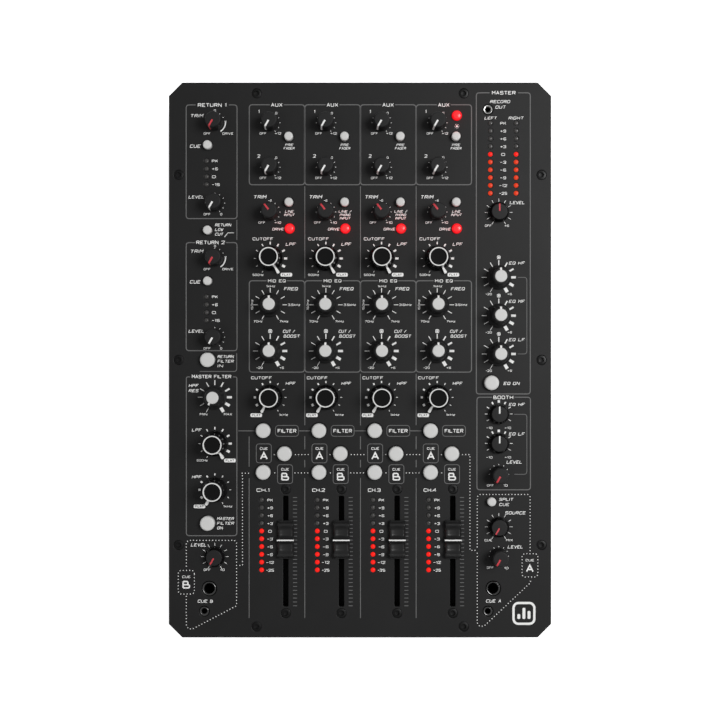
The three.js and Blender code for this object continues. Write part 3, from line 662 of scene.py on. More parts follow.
def fader_mesh():
    """A cap with a hollow for a finger on each side of a raised white line."""
    half_length, half_foot = 12.2, 5.45
    build = Builder()
    rings = []
    steps = 56
    for i in range(steps + 1):
        v = -half_length + 2 * half_length * i / steps
        top = cap_height(v)
        end = math.sqrt(max(0, 1 - (abs(v) / (half_length + 0.02)) ** 14))
        foot, crown = half_foot * (0.9 + 0.1 * end), cap_width(v) * (0.86 + 0.14 * end)
        pad = 0.45 * smooth_step(abs(v), 1.4, 3.5) * (1 - smooth_step(abs(v), 8.2, 10.5))
        section = [(-foot, 1.2), (-foot + 0.1, 1.6), (-(foot + crown) / 2, (1.6 + top) / 2),
                   (-crown, top - 0.5), (-crown + 0.18, top - 0.12), (-crown + 0.7, top)]
        section += [(u, top - pad * (1 - (u / (crown - 0.9)) ** 4)) for u in (-2.9, -1.6, 0, 1.6, 2.9)]
        section += [(-x, z) for x, z in reversed(section[:6])]
        rings.append([(x, v, z) for x, z in section])
    build.skin(rings, "fader")
    build.box((-0.7, -4, -8.2), (0.7, 4, 3), "steel")
    z = cap_height(0)
    build.box((-5.2, -0.42, z - 0.6), (5.2, 0.42, z + 0.06), "white")
    for side in (-1, 1):
        build.box((side * 5.25 - 0.12, -0.42, 3.2), (side * 5.25 + 0.12, 0.42, z + 0.04), "white")
    return build.mesh("fader_cap", 40)


def faders():
    data = fader_mesh()
    for name, x in FADERS:
        place = millimetres(x, FADER_REST, FACE)
        add_piece(f"cap_{name}", data, f"{name}_body", [name], place=place)


# ---- Printed legend ------------------------------------------------------------------------------
INK_LOW, INK_HIGH = FACE - 0.03, FACE + 0.035
PRINT = {"ink": Builder(), "grey_ink": Builder(), "dark_ink": Builder()}

# Strokes of each character on a grid four wide and six high: digit pairs are x and y, and a stroke
# that starts with ~ has rounded corners.
GLYPHS = {
    "A": "00-26-40 12-32", "B": "00-06 ~06-36-33-03 ~03-43-40-00", "C": "~45-46-06-00-40-41",
    "D": "00-06 ~06-46-40-00", "E": "46-06-00-40 03-33", "F": "46-06-00 03-33",
    "G": "~45-46-06-00-40-42 42-43-23", "H": "00-06 40-46 03-43", "I": "00-06", "J": "~46-40-00-02",
    "K": "00-06 46-02 24-40", "L": "06-00-40", "M": "00-06-23-46-40", "N": "00-06-40-46",
    "O": "~20-40-46-06-00-20", "P": "00-06 ~06-46-43-03", "Q": "~20-40-46-06-00-20 22-40",
    "R": "00-06 ~06-46-43-03 23-40", "S": "~45-46-06-03-43-40-00-01", "T": "06-46 26-20",
    "U": "~06-00-40-46", "V": "06-20-46", "W": "06-10-24-30-46", "X": "00-46 06-40",
    "Y": "06-23-46 23-20", "Z": "06-46-00-40", "k": "00-06 34-02 13-30", "z": "04-34-00-30",
    "0": "~20-40-46-06-00-20", "1": "05-16-10", "2": "~05-06-46-44 44-00-40",
    "3": "~05-06-46-43-13 ~13-43-40-00-01", "4": "30-36-02-42", "5": "46-06-03 ~03-43-40-00-01",
    "6": "~45-46-06-00-40-43-03", "7": "06-46-10", "8": "~26-46-43-03-06-26 ~23-43-40-00-03-23",
    "9": "~01-00-40-46-06-03-43", "+": "03-43 25-21", "-": "03-33", "/": "00-36", ".": "00-01", " ": "",
}
GRID = 6
SPACING = 1.75
LEAN = 0.24
WEIGHT = 0.175  # stroke breadth for each millimetre of letter height
DOT_PITCH, DOT_RADIUS = 2.05, 0.33
STEP_UP = 0.006  # strokes that cross lie this far apart in height


def strokes(text):
    """Every stroke of a text on one grid, and the text's width there."""
    found, pen = [], 0
    for character in text:
        wide = 2 if character == " " else 0
        for stroke in GLYPHS[character].split():
            points = [(int(pair[0]), int(pair[1])) for pair in stroke.lstrip("~").split("-")]
            wide = max([wide] + [x for x, _ in points])
            found.append(([(pen + x, y) for x, y in points], stroke.startswith("~")))
        pen += wide + SPACING
    return found, pen - SPACING


def label(text, x, y, cap=1.9, width=None, italic=False, turn=0, look="ink", left=False):
    """Printed letters about (x, y), or from x on; cap is their height and width the text's length."""
    found, reach = strokes(text)
    weight = WEIGHT * cap
    rise = (cap - weight) / GRID
    stretch = (width - weight) / reach if width and reach else 1.25 * rise
    spin = Matrix.Rotation(math.radians(turn), 2)
    z0, z1 = (INK_HIGH, INK_HIGH + 0.02) if look == "dark_ink" else (INK_LOW, INK_HIGH)
    for order, (points, rounded) in enumerate(found):
        path = [(px * stretch, (py - GRID / 2) * rise) for px, py in points]
        if rounded:
            path = fillet(path, 1.5 * rise, 4)
        placed = []
        for px, py in path:
            across = px - (0 if left else reach * stretch / 2) + (LEAN * py if italic else 0)
            spot = spin @ Vector((across, py))
            placed.append((x + spot.x, y + spot.y))
        PRINT[look].ribbon(placed, weight, z0, z1 + STEP_UP * (order % 3), look)


def stacked(words, x, y, pitch, cap, letter, left=False):
    """Words in slanted letters, one under another; letter is the width that each letter takes."""
    for row, word in enumerate(words):
        label(word, x, y - pitch * row, cap, letter * len(word), True, left=left)


def line(path, width=0.5, look="grey_ink", closed=False):
    PRINT[look].ribbon(path, width, INK_LOW, INK_HIGH, look, closed)


def arc(cx, cy, radius, start, end, steps=8):
    """Points on a circle; angles are clockwise from 12 o'clock."""
    turns = [math.radians(start + (end - start) * i / steps) for i in range(steps + 1)]
    return [(cx + radius * math.sin(t), cy + radius * math.cos(t)) for t in turns]


def spoke(x, y, inner, outer, angle, width):
    """A printed mark that points away from (x, y)."""
    line([arc(x, y, radius, angle, angle, 1)[0] for radius in (inner, outer)], width, "ink")


def patch(outline):
    """A filled printed shape."""
    PRINT["ink"].prism(outline, INK_LOW, INK_HIGH, "ink")


def bordered(x0, y0, x1, y1, gap=None, radius=2.0, width=0.6):
    """A rounded frame; gap is (start, end) of the break for a title in its top line."""
    if gap is None:
        line(rounded_rectangle((x0 + x1) / 2, (y0 + y1) / 2, x1 - x0, y1 - y0, radius), width, closed=True)
        return
    path = [(gap[1], y1), (x1, y1), (x1, y0), (x0, y0), (x0, y1), (gap[0], y1)]
    line(fillet(path, radius, 4), width)


def dots(path):
    """A dotted line along a path."""
    points = [Vector(p) for p in path]
    carry = 0.0
    for a, b in zip(points, points[1:]):
        length = (b - a).length
        while carry <= length:
            spot = a.lerp(b, carry / length)
            patch(circle(spot.x, spot.y, DOT_RADIUS, 8))
            carry += DOT_PITCH
        carry -= length


def ticks(x, y, inner, outer, widths):
    """Eleven marks from -150 to +150 degrees; widths gives each mark's breadth."""
    for i, width in enumerate(widths):
        if width:
            spoke(x, y, inner, outer, -150 + 30 * i, width)


def tag(text, x, y, width=7.5, height=2.4, cap=1.35):
    """Dark text in a solid white rounded box."""
    patch(rounded_rectangle(x, y, width, height, 0.8, 3))
    label(text, x, y, cap, width * 0.72, look="dark_ink")


RISING = [0.3, 0.32, 0.36, 0.42, 0.5, 0.62, 0.85, 1.15, 1.5, 1.8, 2.1]
EVEN = [0.48] * 11
FINE = [0.32] * 11
SWELL = [0.35, 0.38, 0.42, 0.5, 0.62, 0.78, 0.95, 1.15, 1.35, 1.55, 1.6]
PEAKED = [0.0, 0.35, 0.45, 0.6, 0.95, 1.5, 0.95, 0.6, 0.45, 0.35, 0.0]


def swell_ticks(x, y, flip):
    for i, width in enumerate(SWELL):
        angle = (-150 + 30 * i) * (-1 if flip else 1)
        reach = 0.55 + (0.02 if flip else 0.06) * i
        spoke(x, y, 9.9 - reach, 9.9 + reach, angle, width)


def slim_ticks(x, y, first):
    """Marks from number first to the end of the scale, and two fine ones on the left."""
    for i in range(first, 11):
        spoke(x, y, 5.9, 6.6, -150 + 30 * i, 0.36)
    for i in (2, 3):
        spoke(x, y, 5.9, 6.4, -150 + 30 * i, 0.3)


def strip_legend(i):
    x = strip_x(i)
    left, right = x - 13.5, x + 22.1
    bordered(left, 113.0, right, 164.6, (x - 0.2, x + 8.7))
    label("AUX", x + 4.2, 164.5, 2.3, 7.4)
    for row, y in enumerate((STRIP_Y["aux_1"], STRIP_Y["aux_2"])):
        label(str(row + 1), x - 7.3, y + 7.2, 2.1)
        label("0", x + 3.9, y + 6.2, 1.45)
        label("OFF", x - 4.6, y - 6.9, 1.5, 4.4)
        label("+12", x + 5.0, y - 6.9, 1.5, 4.2)
        slim_ticks(x, y, 6)
    label("PRE", x + 12.2, 138.7, 1.6, 5.2, True)
    label("FADER", x + 12.2, 136.5, 1.6, 7.0, True)
    label("TRIM", x - 6.6, 105.1, 2.2, 8.2, True)
    label("-6", x - 0.2, 102.8, 1.4)
    label("OFF", x - 5.4, 88.6, 1.45, 4.4)
    label("+10", x + 4.9, 88.6, 1.45, 4.2)
    slim_ticks(x, STRIP_Y["trim"], 6)
    words = ("LINE /", "PHONO", "INPUT") if i in (1, 2) else ("LINE", "INPUT")
    stacked(words, x + 12.4, 95.8, 2.2, 1.6, 1.35)
    label("DRIVE", x + 5.1, 84.4, 1.7, 7.4, True)
    label("CUTOFF", x - 4.7, 78.1, 1.85, 13.4)
    label("LPF", x + 13.2, 74.7, 2.0, 6.2, True)
    swell_ticks(x, STRIP_Y["lpf"], False)
    label("500Hz", x - 7.9, 54.9, 1.4, 7.0)
    tag("FLAT", x + 10.4, 55.0)
    bordered(left, -7.8, right, 51.1, (x - 2.4, x + 10.8))
    label("MID EQ", x + 4.3, 51.0, 1.9, 11.4)
    label("1kHz", x + 0.3, 47.6, 1.4, 5.6)
    label("FREQ", x + 13.4, 45.9, 2.1, 8.8, True)
    ticks(x, STRIP_Y["freq"], 7.9, 10.8, EVEN)
    label("3.5kHz", x + 15.4, 35.6, 1.4, 7.8)
    label("150Hz", x - 11.7, 35.6, 1.4, 6.6, turn=90)
    label("70Hz", x - 7.9, 24.9, 1.4, 5.6)
    label("7kHz", x + 8.8, 24.9, 1.4, 5.6)
    tag("0", x, 18.6, 2.5, 2.5, 1.5)
    label("CUT /", x + 12.1, 18.5, 2.0, 7.6, True)
    label("BOOST", x + 13.9, 15.4, 2.0, 10.4, True)
    ticks(x, STRIP_Y["cut_boost"], 7.6, 11.0, RISING)
    label("-20", x - 6.9, -5.0, 1.4, 4.0)
    label("+6", x + 7.4, -5.0, 1.4, 2.9)
    label("CUTOFF", x - 5.6, -11.5, 1.85, 13.4)
    label("HPF", x + 13.2, -15.1, 2.0, 6.2, True)
    swell_ticks(x, STRIP_Y["hpf"], True)
    tag("FLAT", x - 9.0, -35.6)
    label("1kHz", x + 8.6, -35.3, 1.4, 5.6)
    bordered(x + 3.4, -49.2, x + 18.2, -42.2, radius=1.9, width=0.4)
    label("FILTER", x + 10.8, -45.7, 2.4, 12.0)
    line([(x - 20.6 if i == 0 else x - 17.7, -45.7), (x - 10.0, -45.7)])
    bordered(x - 9.0, -66.3, x + 0.7, -54.1, radius=1.7, width=0.4)
    bordered(x + 4.7, -79.7, x + 14.4, -67.5, radius=1.7, width=0.4)
    for letter, cx, cy in (("A", x - 4.1, -60.2), ("B", x + 9.6, -73.6)):
        label("CUE", cx, cy + 3.1, 1.6, 5.0)
        label(letter, cx, cy - 1.6, 5.0, 5.0)
    dots([(x + 2.7, -61.0), (x + 3.0, -61.0)])
    dots([(x + 16.3, -61.0), (x + 25.6, -61.0)] if i < 3 else [(x + 16.3, -61.0), (70.8, -61.0)])
    dots([(x + 2.9, -72.8), (x + 3.2, -72.8)])
    if i < 3:
        dots([(x + 16.0, -72.8), (x + 25.5, -72.8)])
    label(f"CH.{i + 1}", x - 4.7, -83.9, 2.2, 8.2)
    for row, text in enumerate(METER_LABELS):
        label(text, x - 0.1, CHANNEL_METER[1] - 0.2 - row * METER_STEP, 1.75, 1.3 * len(text) + 1.0)
    for row in range(29):
        y = -88.7 - row * 2.493
        line([(x + 14.7, y), (x + 17.3, y)], 0.42)


def separators():
    for i in (1, 2, 3):
        x = strip_x(i) - 13.6
        for top, bottom in ((112.0, 52.7), (-8.9, -42.1), (-49.2, -57.6), (-64.4, -69.2), (-76.2, -166.4)):
            line([(x, top), (x, bottom)])
    x = strip_x(0) - 13.6
    for top, bottom in ((-49.3, -68.8), (-76.2, -166.4)):
        line([(x, top), (x, bottom)])


def return_legend(trim_y, level_y, cue_y, meter_top):
    label("TRIM", -105.2, trim_y + 4.2, 2.1, 8.2, True)
    label("0", LEFT + 0.1, trim_y + 7.6, 1.45)
    label("OFF", LEFT - 5.0, trim_y - 7.3, 1.45, 4.4)
    label("DRIVE", LEFT + 8.4, trim_y - 7.3, 1.45, 7.0)
    ticks(LEFT, trim_y, 5.9, 6.5, [0, 0, 0, 0, 0, 0.34, 0.34, 0.34, 0, 0, 0])
    line(arc(LEFT, trim_y, 6.9, 84, 148), 0.75, "ink")
    spoke(LEFT, trim_y, 6.2, 7.5, 84, 0.4)
    label("CUE", -106.2, cue_y - 0.5, 2.1, 6.8, True)
    for row, text in enumerate(("PK", "+6", "0", "-15")):
        y = meter_top - 0.1 - row * RETURN_STEP
        label(text, -94.8 + 0.6 * len(text), y, 1.8, 1.35 * len(text) + 1.1)
    label("LEVEL", -105.4, level_y + 3.9, 2.0, 10.0, True)
    label("OFF", LEFT - 5.0, level_y - 7.2, 1.45, 4.4)
    label("0", LEFT + 4.1, level_y - 7.2, 1.45)
    slim_ticks(LEFT, level_y, 5)


def left_legend():
    bordered(-112.1, 91.2, -79.3, 164.5, (-106.0, -84.6))
    label("RETURN 1", -95.4, 164.4, 2.3, 18.4)
    return_legend(153.3, 101.2, 138.4, 128.4)
    stacked(("RETURN", "LOW", "CUT"), -93.2, 87.1, 3.0, 1.85, 1.72, left=True)
    line([(-87.4, 79.3), (-85.2, 82.0), (-81.4, 82.0)], 0.35, "ink")
    line([(-79.4, 90.4), (-79.4, 77.4)])
    bordered(-112.1, 6.0, -79.3, 75.7, (-106.4, -86.4))
    label("RETURN 2", -96.4, 75.8, 2.3, 18.4)
    return_legend(65.9, 14.7, 50.9, 40.8)
    stacked(("RETURN", "FILTER", "IN"), -91.6, 2.2, 3.0, 1.85, 1.72, left=True)
    line(fillet([(-79.5, 4.3), (-79.5, -7.4), (-103.3, -7.4)], 1.8, 3), 0.5)
    bordered(-112.0, -113.3, -79.4, -10.9, (-109.5, -82.0))
    label("MASTER FILTER", -95.7, -10.7, 2.2, 25.4)
    label("HPF", -107.2, -16.5, 2.0, 6.2, True)
    label("RES", -107.2, -19.8, 2.0, 6.2, True)
    ticks(LEFT, SIDE_Y["master_filter_res"], 7.6, 11.0, RISING)
    label("MIN", -100.9, -35.0, 1.45, 4.8)
    label("MAX", -85.1, -35.0, 1.45, 5.2)
    label("LPF", -105.2, -45.1, 2.0, 6.2, True)
    swell_ticks(LEFT, SIDE_Y["master_filter_lpf"], False)
    label("500Hz", -101.8, -64.7, 1.4, 7.0)
    tag("FLAT", -83.9, -64.8)
    label("HPF", -105.2, -75.4, 2.0, 6.2, True)
    swell_ticks(LEFT, SIDE_Y["master_filter_hpf"], True)
    tag("FLAT", -103.5, -94.4)
    label("1kHz", -85.2, -94.4, 1.4, 5.6)
    stacked(("MASTER", "FILTER", "ON"), -91.9, -102.3, 3.0, 1.85, 1.8, left=True)


def cue_b_legend():
    dots([(-79.6, -157.0), (-79.6, -117.6), (-81.0, -116.3), (-110.6, -116.3), (-112.0, -117.6),
          (-112.0, -134.6)])
    dots([(-112.0, -152.4), (-112.0, -171.0), (-110.6, -173.4), (-107.9, -173.4), (-79.8, -158.6)])
    dots(rounded_rectangle(-112.0, -143.3, 10.4, 15.2, 1.9) + [(-106.8, -137.5)])
    dots([(-76.0, -73.0), (-71.6, -73.0)])
    dots([(-75.8, -74.6), (-75.8, -132.4), (-78.4, -132.4)])
    label("CUE", -112.0, -139.8, 1.5, 5.4)
    label("B", -112.0, -144.9, 5.0, 5.0)
    label("LEVEL", -103.9, -119.2, 2.1, 10.0, True)
    ticks(LEFT, SIDE_Y["cue_b_level"], 7.0, 8.9, FINE)
    label("OFF", -98.6, -135.3, 1.5, 4.4)
    label("10", -88.7, -135.3, 1.5, 2.6)
    label("CUE B", -99.7, -155.5, 2.0, 9.8, True)


def master_legend():
    bordered(75.0, -21.9, 109.8, 172.3, (83.6, 101.9))
    label("MASTER", 92.7, 172.3, 2.3, 15.2)
    label("RECORD", 90.4, 166.6, 2.0, 12.8, True)
    label("OUT", 90.7, 163.1, 2.0, 6.6, True)
    label("LEFT", 84.3, 156.0, 1.9, 7.8, True)
    label("RIGHT", 100.7, 156.0, 1.9, 9.6, True)
    for row, text in enumerate(METER_LABELS):
        label(text, 92.3, MASTER_METER[2] - 0.2 - row * METER_STEP, 1.8, 1.35 * len(text) + 1.1)
    label("LEVEL", 101.5, 101.5, 2.0, 9.6, True)
    ticks(RIGHT, SIDE_Y["master_level"], 7.0, 8.9, FINE)
    label("OFF", 82.7, 86.6, 1.45, 4.4)
    label("+6", 94.6, 86.6, 1.45, 2.9)
    for name, y in (("EQ HF", 53.3), ("EQ MF", 28.6), ("EQ LF", 3.9)):
        tag("0", RIGHT, y + 12.9, 2.3, 2.3, 1.4)
        label(name, 101.2, y + 9.2, 2.0, 10.2, True)
        ticks(RIGHT, y, 7.6, 11.0, RISING)
        label("-20", 83.0, y - 10.8, 1.4, 4.0)
        label("+6", 96.5, y - 10.8, 1.4, 2.9)
    line(fillet([(101.7, 53.3), (107.6, 53.3), (107.6, 3.9), (101.7, 3.9)], 1.8, 3), 0.4)
    label("EQ ON", 97.8, -15.1, 2.0, 10.2, True)


def booth_legend():
    bordered(75.4, -83.7, 109.9, -24.0, (85.2, 99.6))
    label("BOOTH", 92.4, -24.1, 2.3, 12.8)
    for name, y in (("EQ HF", -34.8), ("EQ LF", -53.8)):
        label(name, 101.2, y + 6.1, 2.0, 10.2, True)
        ticks(RIGHT, y, 7.2, 8.9, PEAKED)
        label("-10", 83.4, y - 9.0, 1.4, 4.0)
        label("+10", 95.3, y - 9.0, 1.4, 4.2)
    label("LEVEL", 99.6, -65.8, 2.1, 10.0, True)
    slim_ticks(RIGHT, SIDE_Y["booth_level"], 3)
    label("OFF", 84.1, -80.9, 1.5, 4.4)
    label("10", 93.9, -80.9, 1.5, 2.6)
    line(fillet([(99.5, -35.0), (107.6, -35.0), (107.6, -73.7), (99.5, -73.7)], 1.8, 3), 0.4)


def cue_a_legend():
    dots([(75.6, -122.6), (75.6, -88.2), (77.0, -86.7), (108.2, -86.7), (109.7, -88.2), (109.7, -124.0)])
    dots([(75.6, -122.6), (75.6, -169.4), (77.0, -171.6), (80.0, -171.6), (109.9, -143.6), (109.9, -141.4)])
    dots(rounded_rectangle(109.6, -132.4, 10.2, 15.0, 1.9) + [(114.7, -126.8)])
    dots([(70.9, -62.4), (70.9, -122.7), (74.2, -122.7)])
    label("CUE", 109.5, -129.1, 1.5, 5.4)
    label("A", 109.5, -134.4, 5.0, 5.0)
    label("SPLIT", 90.0, -89.9, 1.9, 9.0, True, left=True)
    label("CUE", 90.0, -93.2, 1.9, 6.4, True, left=True)
    label("SOURCE", 100.3, -98.6, 2.0, 13.2, True)
    ticks(RIGHT, SIDE_Y["cue_source"], 7.0, 8.9, FINE)
    label("CUE", 82.7, -116.2, 1.45, 4.8)
    label("MIX", 96.4, -116.2, 1.45, 4.4)
    label("LEVEL", 100.3, -120.5, 2.1, 9.8, True)
    slim_ticks(RIGHT, SIDE_Y["cue_a_level"], 3)
    label("OFF", 84.0, -133.9, 1.45, 4.4)
    label("10", 94.4, -134.2, 1.5, 2.6)
    label("CUE A", 86.2, -155.4, 2.0, 9.8, True)


def small_marks():
    """A sun under the power LED, and a plain level-bar emblem in the front right corner."""
    x, y = 62.5, 150.7
    patch(circle(x, y, 0.6, 12))
    for i in range(8):
        spoke(x, y, 1.0, 1.5, 45 * i, 0.28)
    x, y, side = 105.7, -163.4, 13.4
    line(rounded_rectangle(x, y, side, side, 3.2, 6), 1.5, "ink", closed=True)
    for i, height in enumerate((3.2, 7.2, 5.2)):
        patch(rounded_rectangle(x - 3.3 + 3.3 * i, y - 3.6 + height / 2, 1.9, height, 0.7, 3))


def legend():
    for i in CHANNELS:
        strip_legend(i)
    separators()
    left_legend()
    cue_b_legend()
    master_legend()
    booth_legend()
    cue_a_legend()
    small_marks()
    for look, build in PRINT.items():
        build.piece(f"legend_{look}", slot="button" if look == "ink" else "panel")


# ---- Control board under the face ----------------------------------------------------------------
BOARD_LOW, BOARD_HIGH = 50.4, 52.0
POT_TOP, SWITCH_TOP = 60.0, 58.6


def span(middle, side, near, far):
    """The two ends, low first, of a stretch that runs from near to far on one side of the middle."""
    return sorted((middle + side * near, middle + side * far))


def control_board():
    build = Builder()
    outline = [(-84, -168), (74, -168), (74, -136), (106, -136), (106, 160), (91, 160), (91, 168), (75, 168),
               (75, 160), (-106, 160), (-106, -136), (-84, -136)]
    build.prism(outline, BOARD_LOW, BOARD_HIGH, "board")
    for _, _, x, y, _, _ in KNOBS:
        build.box((x - 4.9, y - 5.5, BOARD_HIGH), (x + 4.9, y + 5.5, POT_TOP - 2.5), "steel")
        build.lathe([(0, POT_TOP - 3), (4.2, POT_TOP - 3), (4.2, POT_TOP), (0, POT_TOP)], "metal", 20,
                    Matrix.Translation((x, y, 0)))
        for k in (-2.5, 0, 2.5):
            build.box((x + k - 0.4, y - 7.2, BOARD_HIGH), (x + k + 0.4, y - 5.4, BOARD_HIGH + 2.4), "metal")
    for _, _, x, y in BUTTONS:
        build.box((x - 3.8, y - 3.8, BOARD_HIGH), (x + 3.8, y + 3.8, SWITCH_TOP), "moulded")
    for _, x in FADERS:
        top = UNDER - 0.3
        for side in (-1, 1):
            a, b = span(x, side, 1.8, 5.5)
            build.box((a, FADER_MID - 44, top - 8.2), (b, FADER_MID + 44, top), "moulded")
        for end in (-1, 1):
            a, b = span(FADER_MID, end, 36, 44)
            build.box((x - 2, a, BOARD_HIGH), (x + 2, b, top - 0.1), "moulded")
        # A near-black sheet under the slot: painted shade below the fader.
        build.box((x - 5, FADER_MID - 40, top - 9.2), (x + 5, FADER_MID + 40, top - 8.1), "hollow")
    build.piece("control_circuit", slot="circuit_board", replaced=["control_board"], bevel=0.15)


# ---- Rear panel and its connectors ---------------------------------------------------------------
REAR_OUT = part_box("rear_panel")[1].y / MM
REAR_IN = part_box("rear_panel")[0].y / MM
XLR_X, XLR_Z = (40, 12), 32
TRS_X, TRS_Z = (-14, -30, -46), (22, 40)
RCA_X, RCA_Z = (-62, -76, -90, -104), (16.5, 30, 43.5)
INLET = (90, 32, 27, 20)
ROCKER = (65, 32, 13, 19.4)


def facing_rear(x, z):
    """Places a shape made about +Z so that it stands out of the rear panel."""
    return Matrix.Translation((x, REAR_OUT, z)) @ ALONG_Y


def rear_panel():
    low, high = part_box("rear_panel")
    width, height = (high.x - low.x) / MM, (high.z - low.z) / MM
    middle = (low.z + high.z) / 2 / MM
    holes = [circle(x, XLR_Z - middle, 12, 48) for x in XLR_X]
    holes += [circle(x, z - middle, 4.9, 32) for x in TRS_X for z in TRS_Z]
    holes += [circle(x, z - middle, 4.7, 32) for x in RCA_X for z in RCA_Z]
    for x, z, w, h in (INLET, ROCKER):
        holes.append(rounded_rectangle(x, z - middle, w + 0.6, h + 0.6, 0.6))
    outline = rounded_rectangle(0, 0, width, height, 1.0)
    data = plate_mesh("connector_panel", outline, holes, 1.5, 0.2, "case")
    stand = millimetres(0, REAR_OUT, middle) @ STAND_UP
    add_piece("connector_panel", data, replaced=["rear_panel"], place=stand)


def phono_sockets():
    build = Builder()
    build.box((-110, 153.2, 10.5), (-56, 154.8, 49.5), "board")
    for x in RCA_X:
        build.box((x - 5.2, 154.2, RCA_Z[0] - 5.2), (x + 5.2, REAR_IN - 0.3, RCA_Z[-1] + 5.2), "moulded")
        for row, z in enumerate(RCA_Z):
            at = facing_rear(x, z)
            barrel = fillet([(2.9, -2.6), (4.2, -2.6), (4.2, 8.6), (3.7, 8.95), (2.9, 8.7)], 0.2, 2)
            build.lathe(barrel, "metal", 32, at, closed=True)
            build.lathe(fillet([(1.75, -2), (2.95, -2), (2.95, 7.9), (1.75, 7.9)], 0.1, 2),
                        "red_ring" if row % 2 else "white", 28, at, closed=True)
            # A near-black disc at the back of the socket: painted shade in its bore.
            build.lathe([(0, -2.2), (2.9, -2.2), (2.9, -1.5), (0, -1.5)], "hollow", 20, at)
    build.piece("phono_inputs", slot="circuit_board", replaced=["input_board"])


def jack_sockets():
    build = Builder()
    inner = REAR_IN - 0.3
    for x in TRS_X:
        for z in TRS_Z:
            at = facing_rear(x, z)
            bush = [(3.3, -25), (4.4, -25), (4.4, 2.2), (4.1, 2.45), (3.5, 2.4), (3.3, 2.0)]
            build.lathe(fillet(bush, 0.1, 2), "metal", 36, at, closed=True)
            corners = [math.radians(60 * k) for k in range(6)]
            nut = [(6.0 * math.cos(t), 6.0 * math.sin(t)) for t in corners]
            ring = [[at @ Vector((px * s, py * s, h)) for px, py in nut]
                    for s, h in ((0.75, 0.1), (0.97, 0.1), (1, 0.35), (1, 1.4), (0.95, 1.65), (0.75, 1.65))]
            build.skin(ring, "metal", closed=True)
            for side in (-1, 1):
                a, b = span(x, side, 4.5, 7.5)
                build.box((a, inner - 24, z - 8), (b, inner, z + 8), "moulded")
                a, b = span(z, side, 4.5, 8)
                build.box((x - 4.5, inner - 24, a), (x + 4.5, inner, b), "moulded")
    build.piece("line_jacks", slot="connector", replaced=["jack_block"], bevel=0.1)


def output_sockets():
    for name, x in zip(("left", "right"), XLR_X):
        build = Builder()
        at = facing_rear(x, XLR_Z)
        rim = [(9.4, 1.9), (9.8, 2.28), (11.2, 2.28), (11.5, 1.9)]
        build.lathe([(0, -12.6), (9.4, -12.6), *rim, (11.5, -17.4), (0, -17.4)], "moulded", 48, at)
        for turn in (90, 210, 330):
            px, pz = 4.9 * math.cos(math.radians(turn)), 4.9 * math.sin(math.radians(turn))
            pin = fillet([(0, -13), (1.2, -13), (1.2, -0.8), (0.6, -0.15), (0, 0)], 0.3, 2)
            build.lathe(pin, "metal", 14, at @ Matrix.Translation((px, -pz, 0)))
        holes = [circle(0, 0, 11.3, 48)]
        outline = rounded_rectangle(0, 0, 26, 31, 2.5)
        data = plate_mesh(f"output_flange_{name}", outline, holes, 1.9, 0.25, "moulded")
        stand = millimetres(x, REAR_OUT + 2.25, XLR_Z) @ STAND_UP
        add_piece(f"output_flange_{name}", data, place=stand)
        for sx, sz in ((-9.5, 12), (9.5, -12)):
            spot = facing_rear(x + sx, XLR_Z + sz)
            head = [(0, 1.0), (2.4, 1.0), (2.4, 2.3), (1.9, 2.6), (1.1, 2.62), (1.0, 1.9), (0, 1.8)]
            build.lathe(head, "screw", 24, spot)
        build.piece(f"output_socket_{name}", slot="connector", replaced=[f"output_{name}"])


def mains_panel():
    x, z, w, h = INLET
    build = Builder()
    front = REAR_OUT + 0.6
    a, b = w / 2, h / 2
    for side in (-1, 1):
        p, q = span(x, side, 12, a)
        build.box((p, front - 20, z - b), (q, front, z + b), "moulded")
        p, q = span(z, side, 8.2, b)
        build.box((x - 12, front - 20, p), (x + 12, front, q), "moulded")
    build.box((x - 12, front - 20, z - 8.2), (x + 12, front - 16, z + 8.2), "moulded")
    for dx, dz in ((-7, 0), (7, 0), (0, 4)):
        build.box((x + dx - 1, front - 17, z + dz - 2), (x + dx + 1, REAR_OUT - 3, z + dz + 2), "metal")
    x, z, w, h = ROCKER
    a, b = w / 2, h / 2
    for side in (-1, 1):
        p, q = span(x, side, a - 1.3, a)
        build.box((p, front - 20, z - b), (q, front, z + b), "moulded")
        p, q = span(z, side, b - 1.3, b)
        build.box((x - a + 1.3, front - 20, p), (x + a - 1.3, front, q), "moulded")
    build.box((x - a + 1.3, front - 20, z - b + 1.3), (x + a - 1.3, REAR_OUT - 9, z + b - 1.3), "moulded")
    build.piece("mains_inlet_and_switch", slot="connector", bevel=0.2)


def power_supply():
    supply = Builder()
    supply.box((52, 62, 13), (108, REAR_IN - 0.3, 14.6), "board")
    supply.box((58, 70, 14.6), (100, 108, 42), "steel")
    supply.box((62, 67, 20), (96, 111, 36), "copper")
    for cx in (64, 80, 96):
        supply.lathe(fillet([(0, 14.6), (6, 14.6), (6, 36), (0, 36)], 0.6, 2), "blue_sleeve", 28,
                     Matrix.Translation((cx, 122, 0)))
    for fin in range(7):
        supply.box((61 + 6 * fin, 134, 14.6), (63 + 6 * fin, 141, 38), "metal")
    supply.box((60, 136.5, 14.6), (102, 138.5, 38), "metal")
    for sx, sy in ((56, 66), (104, 66), (56, 150), (104, 150)):
        standoff = [(0, 9.1), (2.5, 9.1), (2.5, 13.2), (0, 13.2)]
        supply.lathe(standoff, "metal", 16, Matrix.Translation((sx, sy, 0)))
    supply.piece("power_supply_board", slot="circuit_board", replaced=["power_supply"], bevel=0.2)


def dress_cad_nodes():
    """Case parts whose CAD shape is right keep it, with softened edges and a proper finish."""
    kept = {"chassis_tray": ("case", 0.45), "power_rocker": ("moulded", 0.25)}
    for corner in ("front_left", "front_right", "rear_left", "rear_right"):
        kept[f"foot_{corner}"] = ("rubber", 0.4)
    for name, (look, width) in kept.items():
        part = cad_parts[name]
        part.data.materials.clear()
        part.data.materials.append(LOOKS[look])
        soften(part, width)


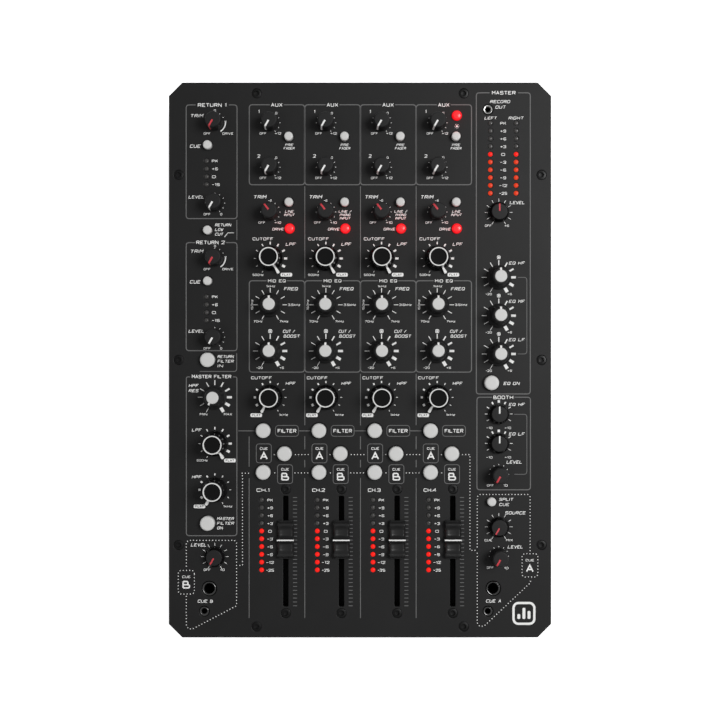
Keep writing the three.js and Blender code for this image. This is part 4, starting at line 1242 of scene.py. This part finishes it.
# ---- Stage ---------------------------------------------------------------------------------------
CAMERA_DISTANCE = 850
VIEW_WIDTH = 464.3
SENSOR = 36
FLOOR_HALF = 6  # metres


def stage():
    floor_mesh = bpy.data.meshes.new("floor")
    corners = [(x * FLOOR_HALF, y * FLOOR_HALF, 0) for x, y in ((-1, -1), (1, -1), (1, 1), (-1, 1))]
    floor_mesh.from_pydata(corners, [], [(0, 1, 2, 3)])
    pale = surface("pale_floor", (0.9, 0.9, 0.9), 0.9, grain=0.05, grain_size=4, spread=0.01, shine=0.1,
                   emission=(1, 1, 1), strength=0.72)
    floor_mesh.materials.append(pale)
    floor = bpy.data.objects.new("floor", floor_mesh)
    link(floor)

    camera = bpy.data.cameras.new("camera")
    camera.sensor_width = SENSOR
    camera.lens = SENSOR * CAMERA_DISTANCE / VIEW_WIDTH
    camera.clip_start, camera.clip_end = 0.01, 50
    viewer = bpy.data.objects.new("camera", camera)
    viewer.location = (0, 0, (FACE + CAMERA_DISTANCE) * MM)
    link(viewer)
    bpy.context.scene.camera = viewer


def area_light(name, place, aim, size, power):
    light = bpy.data.lights.new(name, "AREA")
    light.shape = "DISK"
    light.size = size
    light.energy = power
    holder = bpy.data.objects.new(name, light)
    holder.location = place
    holder.rotation_mode = "QUATERNION"
    holder.rotation_quaternion = (Vector(aim) - Vector(place)).to_track_quat("-Z", "Y")
    link(holder)
    return holder


def lights():
    area_light("key", (1.0, 0.3, 1.6), (0, 0, 0.07), 0.9, 24)
    fill = area_light("fill", (-1.2, -0.5, 1.8), (0, 0, 0.07), 1.6, 7)
    fill.visible_glossy = False
    world = bpy.data.worlds.new("studio")
    world.use_nodes = True
    back = world.node_tree.nodes["Background"]
    back.inputs["Color"].default_value = (1, 1, 1, 1)
    back.inputs["Strength"].default_value = 0.32
    bpy.context.scene.world = world
    for i, (x, y) in enumerate(BIG_LEDS):
        glow = bpy.data.lights.new(f"glow_{i}", "POINT")
        glow.color = (1, 0.02, 0.03)
        glow.energy = 0.002
        glow.shadow_soft_size = 0.003
        holder = bpy.data.objects.new(f"glow_{i}", glow)
        holder.location = (x * MM, y * MM, (FACE + 6) * MM)
        holder.visible_camera = False
        holder.visible_glossy = False
        link(holder)
    bpy.context.scene.view_settings.view_transform = "Standard"


faceplate()
screws()
leds()
jacks()
knobs()
buttons()
faders()
legend()
control_board()
rear_panel()
phono_sockets()
jack_sockets()
output_sockets()
mains_panel()
power_supply()
dress_cad_nodes()
stage()
lights()
